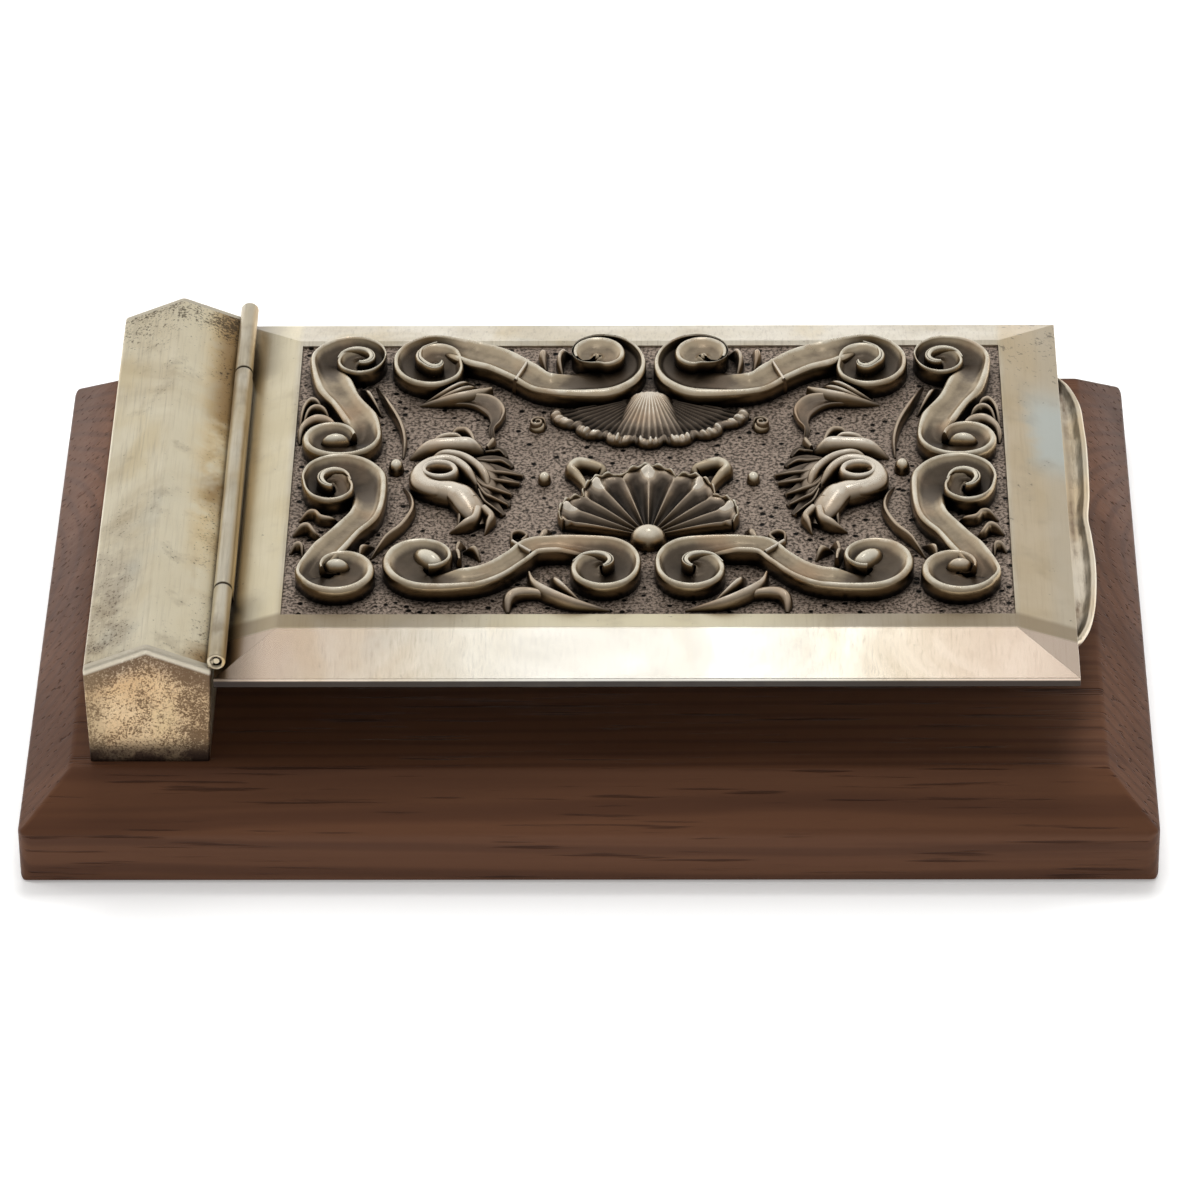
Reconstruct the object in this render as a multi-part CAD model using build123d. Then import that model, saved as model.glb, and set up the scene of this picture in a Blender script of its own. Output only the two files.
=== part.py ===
"""Desk blotter: a bevelled hardwood board, a roofed silver hinge housing screwed to its left end,
and a silver cover with a cast rocaille plaque that lifts on a three-knuckle tube hinge.

Millimetres. +X runs from the housing to the thumb lip, +Z is up, and the origin is at the centre
of the board's footprint, on the desk.
"""
import os

from build123d import *

# ---- board ----
board_length = 178.0
board_width = 127.0
board_edge_height = 9.2      # desk to the arris where the bevel starts
board_bevel_run = 8.1
board_bevel_rise = 7.1
board_corner_radius = 2.2
baize_thickness = 1.0
baize_proud = 0.3            # the baize keeps the wood this far off the desk
baize_inset = 4.0

# ---- hinge housing ----
housing_length = 101.1       # along Y, and the cover is as wide
housing_centre_y = -3.05
housing_inset = 10.8         # board's left end to the outer face of the left wall at the eaves
housing_width = 19.9         # across the eaves
housing_ridge_rise = 4.05
housing_left_batter = 0.4    # how far each wall leans in from eaves to foot
housing_right_batter = 0.9
housing_wall = 1.2
housing_eave_radius = 0.8
housing_ridge_radius = 1.2
end_plate_edge_radius = 0.45

# ---- fixings inside the housing ----
screw_spacing = 64.0
screw_radius = 1.5
screw_head_radius = 2.8
screw_head_height = 2.0
screw_slot_width = 0.7
screw_slot_depth = 0.9
screw_hole_clearance = 0.3
counterbore_radius = 4.6
counterbore_top = 8.0        # height of the counterbore's roof above the desk
washer_clearance = 0.3
washer_thickness = 0.8
bar_width = 9.0
bar_thickness = 4.0
bar_tapping_margin = 0.6     # metal left above the screw's tip

# ---- cover ----
paper_gap = 14.2             # board to the underside of the cover
cover_gap = 0.3              # cover's left edge to the line of the housing's right eave
cover_length = 134.3
cover_edge = 1.6             # height of the cover's upright edge
cover_bevel_run = 9.5
cover_bevel_rise = 3.1
cover_sheet = 1.2
back_plate_thickness = 0.7
plaque_left_rim = 0.4        # level rim between the bevel and the plaque, on each side
plaque_right_rim = 0.2
plaque_front_rim = 3.6
plaque_rear_rim = 1.4
plaque_sunk = 0.4            # rim down to the plaque's ground
plaque_thickness = 1.4
plaque_front_flange = 2.0
plaque_rear_flange = 0.8
flange_thickness = 0.6

# ---- hinge ----
hinge_out = 0.9              # right eave to the hinge axis, along X
hinge_above_cover = 4.85     # underside of the cover up to the hinge axis
knuckle_radius = 1.45
end_knuckle_length = 19.4
knuckle_gap = 0.15
pin_radius = 0.85
pin_running_clearance = 0.05
pin_recess = 0.7             # knuckle's end face in to the pin's shoulder
pin_tip_radius = 0.5
pin_tip_length = 0.4
leaf_width = 2.4             # how far each knuckle's leaf reaches along what it is soldered to

# ---- thumb lip ----
lip_half_length = 37.8
lip_projection = 4.3
lip_notch_depth = 0.6
lip_notch_offset = -2.5
lip_root = 2.6               # how far the lip reaches in under the cover
lip_thickness = 2.4
lip_dish_radius = 3.0
lip_dish_floor = 0.9         # metal left under the dish

# ---- relief on the plaque ----
relief_height = 3.4
strap_width = 5.0
pearl_radius = 1.2
shell_height = 2.4
cartouche_height = 2.6
cartouche_eye_radius = 1.3

# ---- worked out from the sizes above ----
board_underside = baize_proud
board_top = board_edge_height + board_bevel_rise
cover_bottom = board_top + paper_gap
cover_rim_top = cover_bottom + cover_edge + cover_bevel_rise
hinge_z = cover_bottom + hinge_above_cover
eave_z = hinge_z - knuckle_radius
ridge_z = eave_z + housing_ridge_rise
housing_left = -board_length / 2 + housing_inset
housing_right = housing_left + housing_width
ridge_x = housing_left + housing_width / 2
housing_front = housing_centre_y - housing_length / 2
housing_rear = housing_centre_y + housing_length / 2
hinge_x = housing_right + hinge_out
cover_left = housing_right + cover_gap
cover_right = cover_left + cover_length
plaque_left = cover_left + cover_bevel_run + plaque_left_rim
plaque_right = cover_right - cover_bevel_run - plaque_right_rim
plaque_front = housing_front + cover_bevel_run + plaque_front_rim
plaque_rear = housing_rear - cover_bevel_run - plaque_rear_rim
ground_z = cover_rim_top - plaque_sunk
screw_x = ridge_x
screw_ys = (housing_centre_y - screw_spacing / 2, housing_centre_y + screw_spacing / 2)


def along_y(profile, low, high):
    """A solid with an XZ profile, from y = low to y = high."""
    return Pos(0, high, 0) * extrude(Plane.XZ * profile, high - low)


def block(x0, x1, y0, y1, z0, z1):
    """A box between two corners."""
    return Pos((x0 + x1) / 2, (y0 + y1) / 2, (z0 + z1) / 2) * Box(x1 - x0, y1 - y0, z1 - z0)


def rectangle_at(x0, x1, y0, y1, z):
    """A level rectangular face."""
    return Pos((x0 + x1) / 2, (y0 + y1) / 2, z) * Rectangle(x1 - x0, y1 - y0)


def rod(x, y, z0, z1, radius):
    """An upright cylinder."""
    return Pos(x, y, (z0 + z1) / 2) * Cylinder(radius, z1 - z0)


# ---- board ----

def make_wooden_base():
    half_x, half_y = board_length / 2, board_width / 2
    base = block(-half_x, half_x, -half_y, half_y, board_underside, board_top)
    top = base.faces().sort_by(Axis.Z)[-1]
    base = chamfer(top.edges(), board_bevel_run, board_bevel_rise, reference=top)
    base = fillet(base.edges().filter_by(Axis.Z), board_corner_radius)
    base -= extrude(baize_outline(), baize_thickness)
    for y in screw_ys:
        base -= rod(screw_x, y, 0, counterbore_top, counterbore_radius)
        base -= rod(screw_x, y, 0, board_top + 1, screw_radius + screw_hole_clearance)
    return base


def baize_outline():
    return RectangleRounded(board_length - 2 * baize_inset, board_width - 2 * baize_inset,
                            board_corner_radius)


def make_base_baize():
    return extrude(baize_outline(), baize_thickness)


# ---- hinge housing ----

def housing_outline():
    """The gable: two walls that lean in towards the foot, and a low pitched roof."""
    outline = make_face(Polyline(
        (housing_left + housing_left_batter, board_top),
        (housing_left, eave_z),
        (ridge_x, ridge_z),
        (housing_right, eave_z),
        (housing_right - housing_right_batter, board_top),
        close=True,
    ))
    outline = fillet(outline.vertices().sort_by(Axis.Y)[2:4], housing_eave_radius)
    return fillet(outline.vertices().sort_by(Axis.Y)[-1], housing_ridge_radius)


def housing_inside():
    """The hollow under the folded sheet, open at the foot."""
    inner = offset(housing_outline(), -housing_wall, kind=Kind.INTERSECTION)
    return inner + Pos(0, -housing_wall) * inner


def make_hinge_housing():
    shell = housing_outline() - housing_inside()
    return along_y(shell, housing_front + housing_wall, housing_rear - housing_wall)


def make_end_plate(low, high, outer_side):
    """A gable plate soldered over one end of the shell, its outer edges rounded."""
    plate = along_y(housing_outline(), low, high)
    outer_face = plate.faces().sort_by(Axis.Y)[outer_side]
    edges = outer_face.edges().sort_by(Axis.Z)[1:]
    return fillet(edges, end_plate_edge_radius)


def make_housing_end_front():
    return make_end_plate(housing_front, housing_front + housing_wall, 0)


def make_housing_end_rear():
    return make_end_plate(housing_rear - housing_wall, housing_rear, -1)


def make_fixing_bar(y):
    """A tapped bar soldered across the foot of the shell."""
    span = housing_inside() & (Pos(ridge_x, board_top + bar_thickness / 2)
                               * Rectangle(housing_width * 2, bar_thickness))
    bar = along_y(span, y - bar_width / 2, y + bar_width / 2)
    return bar - rod(screw_x, y, 0, screw_tip_z(), screw_radius)


def screw_tip_z():
    return board_top + bar_thickness - bar_tapping_margin


def make_screw(y):
    """A slotted cheese-head screw, put in from under the board."""
    head_top = counterbore_top - washer_thickness
    head_bottom = head_top - screw_head_height
    screw = rod(screw_x, y, head_bottom, head_top, screw_head_radius)
    screw += rod(screw_x, y, head_top, screw_tip_z(), screw_radius)
    slot = block(screw_x - screw_head_radius, screw_x + screw_head_radius,
                 y - screw_slot_width / 2, y + screw_slot_width / 2,
                 head_bottom, head_bottom + screw_slot_depth)
    return screw - slot


def make_washer(y):
    washer = rod(screw_x, y, counterbore_top - washer_thickness, counterbore_top,
                 counterbore_radius - washer_clearance)
    return washer - rod(screw_x, y, 0, board_top, screw_radius + screw_hole_clearance)


# ---- cover ----

def make_cover_frame():
    """A bevelled sheet tray, mitred at the corners, with an opening for the plaque."""
    def level(inset, z):
        return rectangle_at(cover_left + inset, cover_right - inset,
                            housing_front + inset, housing_rear - inset, z)

    edge_top = cover_bottom + cover_edge
    outer = extrude(level(0, cover_bottom), cover_edge)
    outer += loft([level(0, edge_top), level(cover_bevel_run, cover_rim_top)])

    slope = cover_bevel_rise / cover_bevel_run
    drop = cover_sheet * (1 + slope ** 2) ** 0.5
    pocket_top = cover_bottom + back_plate_thickness
    pocket_run = max(cover_sheet, (pocket_top + drop - edge_top) / slope)
    inner_top = cover_rim_top - cover_sheet
    inner_run = (inner_top + drop - edge_top) / slope
    hollow = extrude(level(cover_sheet, cover_bottom), back_plate_thickness)
    hollow += loft([level(pocket_run, pocket_top), level(inner_run, inner_top)])

    opening = block(plaque_left, plaque_right, plaque_front, plaque_rear,
                    cover_bottom, cover_rim_top + 1)
    return outer - hollow - opening


def make_cover_back_plate():
    """A flat sheet that closes the cover from beneath, let in inside its upright edge."""
    return block(cover_left + cover_sheet, cover_right - cover_sheet,
                 housing_front + cover_sheet, housing_rear - cover_sheet,
                 cover_bottom, cover_bottom + back_plate_thickness)


def make_thumb_lip():
    """A dished lip under the cover's right edge, bowed outwards in two lobes with a notch between."""
    reach = cover_right + lip_projection
    root = cover_right - lip_root
    low, high = housing_centre_y - lip_half_length, housing_centre_y + lip_half_length
    notch = housing_centre_y + lip_notch_offset
    bow = Spline(
        (cover_right - 0.4, low),
        (cover_right + 0.5 * lip_projection, low + 0.1 * lip_half_length),
        (reach, low + 0.45 * lip_half_length),
        (reach - lip_notch_depth, notch),
        (reach, high - 0.45 * lip_half_length),
        (cover_right + 0.5 * lip_projection, high - 0.1 * lip_half_length),
        (cover_right - 0.4, high),
    )
    back = Polyline(bow @ 1, (root, high), (root, low), bow @ 0)
    outline = make_face(bow + back)
    lip = Pos(0, 0, cover_bottom - lip_thickness) * extrude(outline, lip_thickness)
    dish_z = cover_bottom - lip_thickness + lip_dish_floor + lip_dish_radius
    dish = Pos(cover_right + 0.45 * lip_projection, housing_centre_y, dish_z) * Rot(90, 0, 0) \
        * Cylinder(lip_dish_radius, 2 * lip_half_length - 6)
    return lip - dish


# ---- relief plaque ----

def strap(start, start_pull, end_pull, end):
    """A ribbon of the strap's width along a cubic curve between two volutes."""
    curve = Bezier(start, start_pull, end_pull, end)
    count = 12
    left, right = [], []
    for step in range(count + 1):
        point, along = curve @ (step / count), curve % (step / count)
        across = Vector(-along.Y, along.X) * (strap_width / 2)
        left.append(point + across)
        right.append(point - across)
    return make_face(Polyline(*left, *reversed(right), close=True))


def volute(x, y, radius):
    return Pos(x, y) * Circle(radius)


def scroll_outlines(side):
    """The four scrolls of one half of the plaque: side is -1 for the left, 1 for the right."""
    middle = (plaque_left + plaque_right) / 2
    outer = plaque_right - middle
    rear, front = plaque_rear, plaque_front

    def at(from_side, y):
        return middle + side * (outer - from_side), y

    corner_rear = volute(*at(8.8, rear - 7.2), 5.6) + volute(*at(7.0, rear - 30.0), 5.0) \
        + strap(at(4.2, rear - 8.0), at(3.0, rear - 19.0), at(10.0, rear - 18.0), at(11.0, rear - 28.0))
    corner_front = volute(*at(6.6, front + 34.0), 5.4) + volute(*at(8.4, front + 10.0), 6.4) \
        + strap(at(11.0, front + 34.0), at(14.0, front + 24.0), at(5.0, front + 18.0), at(4.6, front + 11.0))
    rear_scroll = volute(*at(22.4, rear - 8.6), 6.8) + volute(*at(48.6, rear - 5.6), 5.6) \
        + strap(at(21.0, rear - 2.6), at(34.0, rear - 4.0), at(36.0, rear - 16.0), at(46.0, rear - 14.4)) \
        + strap(at(45.0, rear - 14.4), at(53.0, rear - 14.4), at(54.4, rear - 10.0), at(54.2, rear - 3.0))
    front_scroll = volute(*at(22.4, front + 11.6), 6.0) + volute(*at(49.4, front + 11.0), 5.8) \
        + strap(at(22.6, front + 6.4), at(31.0, front + 4.4), at(35.0, front + 12.0), at(38.6, front + 15.4)) \
        + strap(at(36.4, front + 15.6), at(42.0, front + 17.0), at(52.0, front + 17.4), at(54.2, front + 11.0))
    return corner_rear + corner_front + rear_scroll + front_scroll


def shell_fan(apex_y, radius, facing):
    """Half a scalloped fan on the plaque's centre line, opening towards facing (1 rear, -1 front)."""
    middle = (plaque_left + plaque_right) / 2
    lobes = 7
    fan = Circle(0.8 * radius)
    for lobe in range(lobes):
        fan += PolarLocations(0.78 * radius, 1, start_angle=180 * (lobe + 0.5) / lobes) \
            * Circle(0.21 * radius)
    fan &= Pos(0, radius) * Rectangle(4 * radius, 2 * radius)
    return Pos(middle, apex_y) * Rot(0, 0, 0 if facing > 0 else 180) * fan


def cartouche(side):
    """An upright cartouche with a pierced eye, a neck and a leaf tip."""
    middle = (plaque_left + plaque_right) / 2
    x = middle + side * 33.4
    y = (plaque_front + plaque_rear) / 2
    body = Pos(x, y + 5.5) * Ellipse(7.5, 3.2) + Pos(x + side * 1.5, y - 1.5) * Ellipse(5.0, 6.0) \
        + Pos(x - side * 6.0, y - 10.5) * Rot(0, 0, side * -35) * Ellipse(4.6, 6.6)
    return body - Pos(x + side * 1.5, y - 0.5) * Circle(cartouche_eye_radius)


def make_relief_plaque():
    """One cast plate: flanges under the rim, a matted ground, and the chased ornament on it."""
    plate = block(plaque_left, plaque_right, plaque_front, plaque_rear,
                  ground_z - plaque_thickness, ground_z)
    flange_top = cover_rim_top - cover_sheet
    plate += block(plaque_left, plaque_right,
                   plaque_front - plaque_front_flange, plaque_rear + plaque_rear_flange,
                   flange_top - flange_thickness, flange_top)

    def raised(outline, height):
        return Pos(0, 0, ground_z) * extrude(outline, height)

    middle_x = (plaque_left + plaque_right) / 2
    for side in (-1, 1):
        plate += raised(scroll_outlines(side), relief_height)
        plate += raised(cartouche(side), cartouche_height)
        for pearl_x, pearl_y in ((40.4, 0.4), (16.8, -3.4)):
            plate += Pos(middle_x + side * pearl_x, pearl_y, ground_z + 0.4) * Sphere(pearl_radius)
    plate += raised(shell_fan(plaque_front + 19.0, 15.5, 1), shell_height)
    plate += raised(shell_fan(plaque_rear - 15.8, 14.5, -1), shell_height)
    return plate


# ---- hinge ----

knuckle_ys = (
    (housing_front, housing_front + end_knuckle_length),
    (housing_front + end_knuckle_length + knuckle_gap, housing_rear - end_knuckle_length - knuckle_gap),
    (housing_rear - end_knuckle_length, housing_rear),
)


def tube_section(bore_radius):
    return Pos(hinge_x, hinge_z) * (Circle(knuckle_radius) - Circle(bore_radius))


def make_fixed_knuckle(low, high):
    """An end knuckle with its leaf soldered over the housing's right eave. The pin is tight in it."""
    leaf = make_face(Polyline(
        (hinge_x, hinge_z),
        (hinge_x - 0.5 * knuckle_radius, hinge_z + 0.6 * knuckle_radius),
        (housing_right - leaf_width, eave_z + 0.8),
        (housing_right - leaf_width, eave_z - 0.8),
        (housing_right - 0.3, eave_z - 1.0),
        (hinge_x - 0.2 * knuckle_radius, hinge_z - 0.9 * knuckle_radius),
        close=True,
    ))
    section = tube_section(pin_radius) + (leaf - housing_outline()
                                          - Pos(hinge_x, hinge_z) * Circle(pin_radius))
    return along_y(section, low, high)


def make_knuckle_front():
    return make_fixed_knuckle(*knuckle_ys[0])


def make_knuckle_rear():
    return make_fixed_knuckle(*knuckle_ys[2])


def bevel_height(x):
    """Height of the cover's left bevel at x."""
    return cover_bottom + cover_edge + (x - cover_left) * cover_bevel_rise / cover_bevel_run


def make_knuckle_middle():
    """The long knuckle, with a leaf down to the cover's left bevel. It runs free on the pin."""
    bore = pin_radius + pin_running_clearance
    leaf_left, leaf_right = cover_left + 0.3, cover_left + 0.3 + leaf_width
    leaf = make_face(Polyline(
        (hinge_x, hinge_z),
        (hinge_x - 0.1, hinge_z - 0.9 * knuckle_radius),
        (leaf_left, bevel_height(leaf_left)),
        (leaf_right, bevel_height(leaf_right)),
        (hinge_x + 0.9 * knuckle_radius, hinge_z),
        close=True,
    ))
    section = tube_section(bore) + (leaf - Pos(hinge_x, hinge_z) * Circle(bore))
    return along_y(section, *knuckle_ys[1])


def make_hinge_pin():
    """A drawn rod with a turned-down tip at each end, inside the end knuckles."""
    def turned(radius, low, high):
        return along_y(Pos(hinge_x, hinge_z) * Circle(radius), low, high)

    low, high = housing_front + pin_recess, housing_rear - pin_recess
    pin = turned(pin_radius, low, high)
    pin += turned(pin_tip_radius, low - pin_tip_length, low)
    return pin + turned(pin_tip_radius, high, high + pin_tip_length)


parts = {
    "wooden_base": make_wooden_base(),
    "base_baize": make_base_baize(),
    "hinge_housing": make_hinge_housing(),
    "housing_end_front": make_housing_end_front(),
    "housing_end_rear": make_housing_end_rear(),
    "fixing_bar_front": make_fixing_bar(screw_ys[0]),
    "fixing_bar_rear": make_fixing_bar(screw_ys[1]),
    "fixing_screws": Compound(children=[make_screw(y) for y in screw_ys]),
    "screw_washers": Compound(children=[make_washer(y) for y in screw_ys]),
    "knuckle_front": make_knuckle_front(),
    "knuckle_rear": make_knuckle_rear(),
    "hinge_pin": make_hinge_pin(),
    "cover_frame": make_cover_frame(),
    "cover_back_plate": make_cover_back_plate(),
    "relief_plaque": make_relief_plaque(),
    "knuckle_middle": make_knuckle_middle(),
    "thumb_lip": make_thumb_lip(),
}

os.makedirs("parts", exist_ok=True)
for name, shape in parts.items():
    export_step(shape, f"parts/{name}.step")
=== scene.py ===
import math

import bmesh
import bpy
from mathutils import Matrix, Vector


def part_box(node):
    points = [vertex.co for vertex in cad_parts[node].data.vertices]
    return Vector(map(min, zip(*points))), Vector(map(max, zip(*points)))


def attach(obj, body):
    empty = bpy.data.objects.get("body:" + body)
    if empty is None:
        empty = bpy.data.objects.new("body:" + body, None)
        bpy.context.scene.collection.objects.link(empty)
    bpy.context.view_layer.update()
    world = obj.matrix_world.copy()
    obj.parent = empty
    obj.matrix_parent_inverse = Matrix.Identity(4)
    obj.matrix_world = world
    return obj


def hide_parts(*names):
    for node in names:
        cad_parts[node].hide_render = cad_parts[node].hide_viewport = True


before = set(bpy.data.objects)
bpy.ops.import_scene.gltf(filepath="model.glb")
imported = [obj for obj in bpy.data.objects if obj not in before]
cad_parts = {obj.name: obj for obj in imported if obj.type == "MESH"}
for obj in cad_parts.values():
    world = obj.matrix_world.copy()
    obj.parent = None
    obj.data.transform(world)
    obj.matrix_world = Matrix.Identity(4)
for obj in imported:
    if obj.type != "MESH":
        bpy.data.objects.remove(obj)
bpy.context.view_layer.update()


# ---- Camera -------------------------------------------------------------------------------------
# A long lens from the writer's side of the desk, a little to the right of the blotter's middle
# and 35 degrees above it.

camera_place = Vector((0.0183, -0.9403, 0.6666))
camera_pitch, camera_heading, camera_roll = (math.radians(angle) for angle in (34.88, -1.12, -0.72))

ahead = Vector((math.sin(camera_heading) * math.cos(camera_pitch),
                math.cos(camera_heading) * math.cos(camera_pitch), -math.sin(camera_pitch)))
level_right = Vector((math.cos(camera_heading), -math.sin(camera_heading), 0))
level_up = level_right.cross(ahead)
right = level_right * math.cos(camera_roll) + level_up * math.sin(camera_roll)
up = level_up * math.cos(camera_roll) - level_right * math.sin(camera_roll)
camera = bpy.data.objects.new("camera", bpy.data.cameras.new("camera"))
camera.data.lens = 214.0
camera.data.sensor_width = 36.0
camera.matrix_world = Matrix.Translation(camera_place) @ Matrix((right, up, -ahead)).transposed().to_4x4()
bpy.context.collection.objects.link(camera)
bpy.context.scene.camera = camera
bpy.context.scene.view_settings.view_transform = "Standard"


# ---- Studio -------------------------------------------------------------------------------------
# A white sheet of paper under soft lamps above, in front and at the left. The silver mirrors only
# the narrow strip lamp overhead, the bright backdrop behind it and the dim room in front.

def softbox(name, place, width, depth, watts, mirrored_in_metal=True):
    lamp = bpy.data.objects.new(name, bpy.data.lights.new(name, "AREA"))
    lamp.data.shape = "RECTANGLE"
    lamp.data.size, lamp.data.size_y = width, depth
    lamp.data.energy = watts
    lamp.location = place
    lamp.rotation_euler = (-Vector(place)).to_track_quat("-Z", "Y").to_euler()
    lamp.visible_glossy = mirrored_in_metal
    bpy.context.collection.objects.link(lamp)


softbox("overhead_strip", (0.035, 0.44, 1.25), 0.15, 0.40, 0.42)
softbox("overhead_key", (0.05, 0.55, 1.2), 0.6, 0.5, 11, False)
softbox("front_fill", (0.3, -1.4, 1.0), 0.9, 0.5, 3.5, False)
softbox("left_fill", (-1.2, 0.1, 0.9), 0.6, 0.8, 5, False)


class Number:
    """A number that changes over a surface. Arithmetic on it adds Math nodes to its finish."""

    def __init__(self, finish, socket):
        self.finish, self.socket = finish, socket

    def __add__(self, other):
        return self.finish.math("ADD", self, other)

    def __sub__(self, other):
        return self.finish.math("SUBTRACT", self, other)

    def __rsub__(self, other):
        return self.finish.math("SUBTRACT", other, self)

    def __mul__(self, other):
        return self.finish.math("MULTIPLY", self, other)

    def __truediv__(self, other):
        return self.finish.math("DIVIDE", self, other)

    def __pow__(self, other):
        return self.finish.math("POWER", self, other)

    def __abs__(self):
        return self.finish.math("ABSOLUTE", self)

    __radd__ = __add__
    __rmul__ = __mul__


class Tree:
    """A node tree. Every node but the arithmetic comes from its node method."""

    def __init__(self, tree):
        self.tree = tree

    def node(self, kind, settings=None, sockets=None, output=0):
        """Adds a node: its type, its settings, its sockets' values or links, and its result."""
        added = self.tree.nodes.new(kind)
        for setting, value in (settings or {}).items():
            setattr(added, setting, value)
        for key, value in (sockets or {}).items():
            self.feed(added.inputs[key], value)
        return Number(self, added.outputs[output])

    def feed(self, socket, value):
        if isinstance(value, Number):
            self.tree.links.new(value.socket, socket)
        else:
            socket.default_value = value

    def math(self, operation, first, second=0.0):
        return self.node("ShaderNodeMath", {"operation": operation}, {0: first, 1: second})


room = bpy.data.worlds.new("room")
bpy.context.scene.world = room
room.use_nodes = True
sky = Tree(room.node_tree)
direction = sky.node("ShaderNodeTexCoord", output="Generated")
toward_right, toward_rear, toward_top = (
    sky.node("ShaderNodeSeparateXYZ", sockets={0: direction}, output=axis) for axis in ("X", "Y", "Z"))
rearward = sky.node("ShaderNodeMapRange", {"interpolation_type": "SMOOTHSTEP"}, {
    "Value": toward_rear, "From Min": -0.3, "From Max": 0.8})
above = sky.math("MAXIMUM", toward_top, 0)
in_front = 0.14 + 0.50 * above
behind = 0.90 - 0.30 * above - 0.15 * toward_right
backdrop = sky.node("ShaderNodeBackground", sockets={
    "Color": (1, 0.99, 0.97, 1), "Strength": in_front * (1 - rearward) + behind * rearward})
sky.feed(room.node_tree.nodes["World Output"].inputs["Surface"], backdrop)

floor_mesh = bpy.data.meshes.new("floor")
floor_mesh.from_pydata([(-4, -4, 0), (4, -4, 0), (4, 4, 0), (-4, 4, 0)], [], [(0, 1, 2, 3)])
floor = bpy.data.objects.new("floor", floor_mesh)
bpy.context.collection.objects.link(floor)
floor_paper = bpy.data.materials.new("floor_paper")
floor_paper.use_nodes = True
for socket, value in {"Base Color": (0.86, 0.86, 0.86, 1), "Roughness": 0.8,
                      "Emission Color": (1, 1, 1, 1), "Emission Strength": 0.22}.items():
    floor_paper.node_tree.nodes["Principled BSDF"].inputs[socket].default_value = value
floor_mesh.materials.append(floor_paper)


# ---- Board --------------------------------------------------------------------------------------
# A planed board of close-grained walnut-brown hardwood, grain along its length, with a wide bevel
# worked round the top and every arris eased with sandpaper, then waxed.

mm = 0.001


class Finish(Tree):
    """A material: a Principled shader with fixed values, and the nodes that vary its colour."""

    def __init__(self, name, **fixed):
        self.material = bpy.data.materials.new(name)
        self.material.use_nodes = True
        super().__init__(self.material.node_tree)
        self.shader = self.tree.nodes["Principled BSDF"]
        for socket, value in fixed.items():
            self.shader.inputs[socket.replace("_", " ")].default_value = value

    def place(self, scale=(1, 1, 1)):
        """Where a point is on the object, in metres, stretched by scale."""
        here = self.node("ShaderNodeTexCoord", output="Object")
        return self.node("ShaderNodeMapping", sockets={"Vector": here, "Scale": scale})

    def axis(self, name):
        """One coordinate of the point, in millimetres."""
        here = self.node("ShaderNodeTexCoord", output="Object")
        return self.node("ShaderNodeSeparateXYZ", sockets={0: here}, output=name) * 1000.0

    def cloud(self, scale, detail=3.0, roughness=0.55, stretch=(1, 1, 1), warp=0.0):
        """Soft noise from 0 to 1. Scale is its spots per metre."""
        return self.node("ShaderNodeTexNoise", {"normalize": True}, {
            "Vector": self.place(stretch), "Scale": scale, "Detail": detail,
            "Roughness": roughness, "Distortion": warp})

    def fade(self, value, low, high):
        """0 below low, 1 above high, smooth between, or the other way where low is the larger."""
        return self.node("ShaderNodeMapRange", {"interpolation_type": "SMOOTHSTEP"}, {
            "Value": value, "From Min": low, "From Max": high})

    def mix(self, share, first, second):
        """A colour between two, and share is how much of the second."""
        def four(colour):
            return colour if isinstance(colour, Number) else (*colour, 1)
        return self.node("ShaderNodeMix", {"data_type": "RGBA"},
                         {0: share, 6: four(first), 7: four(second)}, 2)

    def coats(self, base, *coats):
        """A colour with others laid over it in turn, each given as its share and its colour."""
        for share, colour in coats:
            base = self.mix(share, base, colour)
        return base

    def openness(self, reach):
        """1 on an open face, and towards 0 in a hollow with walls nearer than reach metres."""
        return self.node("ShaderNodeAmbientOcclusion", {"samples": 8}, {"Distance": reach}, "AO")

    def surface(self, **varied):
        for socket, value in varied.items():
            self.feed(self.shader.inputs[socket.replace("_", " ")], value)

    def bump(self, relief, depth, strength=1.0):
        """Fine relief, depth metres deep, in the shader's normal."""
        self.surface(Normal=self.node("ShaderNodeBump", sockets={
            "Height": relief, "Distance": depth, "Strength": strength}))


def walnut():
    wood = Finish("waxed_walnut", Specular_IOR_Level=0.12)
    figure = wood.cloud(9, 3, 0.5, (0.35, 4.5, 4.5), warp=0.6)
    fibre = wood.cloud(60, 4, 0.6, (0.22, 9.0, 9.0))
    streaks = wood.fade(wood.cloud(38, 3, 0.6, (0.16, 5.0, 5.0), warp=0.4), 0.56, 0.75)
    pores = wood.fade(wood.cloud(150, 2, 0.5, (0.30, 8.0, 8.0)), 0.60, 0.72)
    knots = wood.fade(wood.cloud(14, 2, 0.5, (0.5, 2.0, 2.0)), 0.60, 0.78)
    from_pith = ((wood.axis("Y") - 12) ** 2 + (wood.axis("Z") + 34) ** 2) ** 0.5
    rings = wood.math("SINE", 2.6 * from_pith + 9 * wood.cloud(16, 3, 0.5, (0.5, 2, 2)))
    colour = wood.coats(
        (0.082, 0.034, 0.016),
        (wood.fade(figure, 0.32, 0.70), (0.158, 0.071, 0.037)),
        (fibre * 0.55, (0.070, 0.028, 0.016)),
        (wood.fade(rings, 0.1, 1.0) * 0.38, (0.050, 0.020, 0.012)),
        (streaks * 0.32, (0.036, 0.014, 0.009)),
        (pores * 0.60, (0.022, 0.009, 0.006)),
        (knots * 0.30, (0.045, 0.018, 0.012)))
    wood.surface(Base_Color=colour, Roughness=0.40 + 0.16 * fibre + 0.15 * pores)
    wood.bump(0.4 * fibre - 0.8 * pores - 0.15 * streaks, 0.00022, 0.7)
    return wood.material


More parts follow.
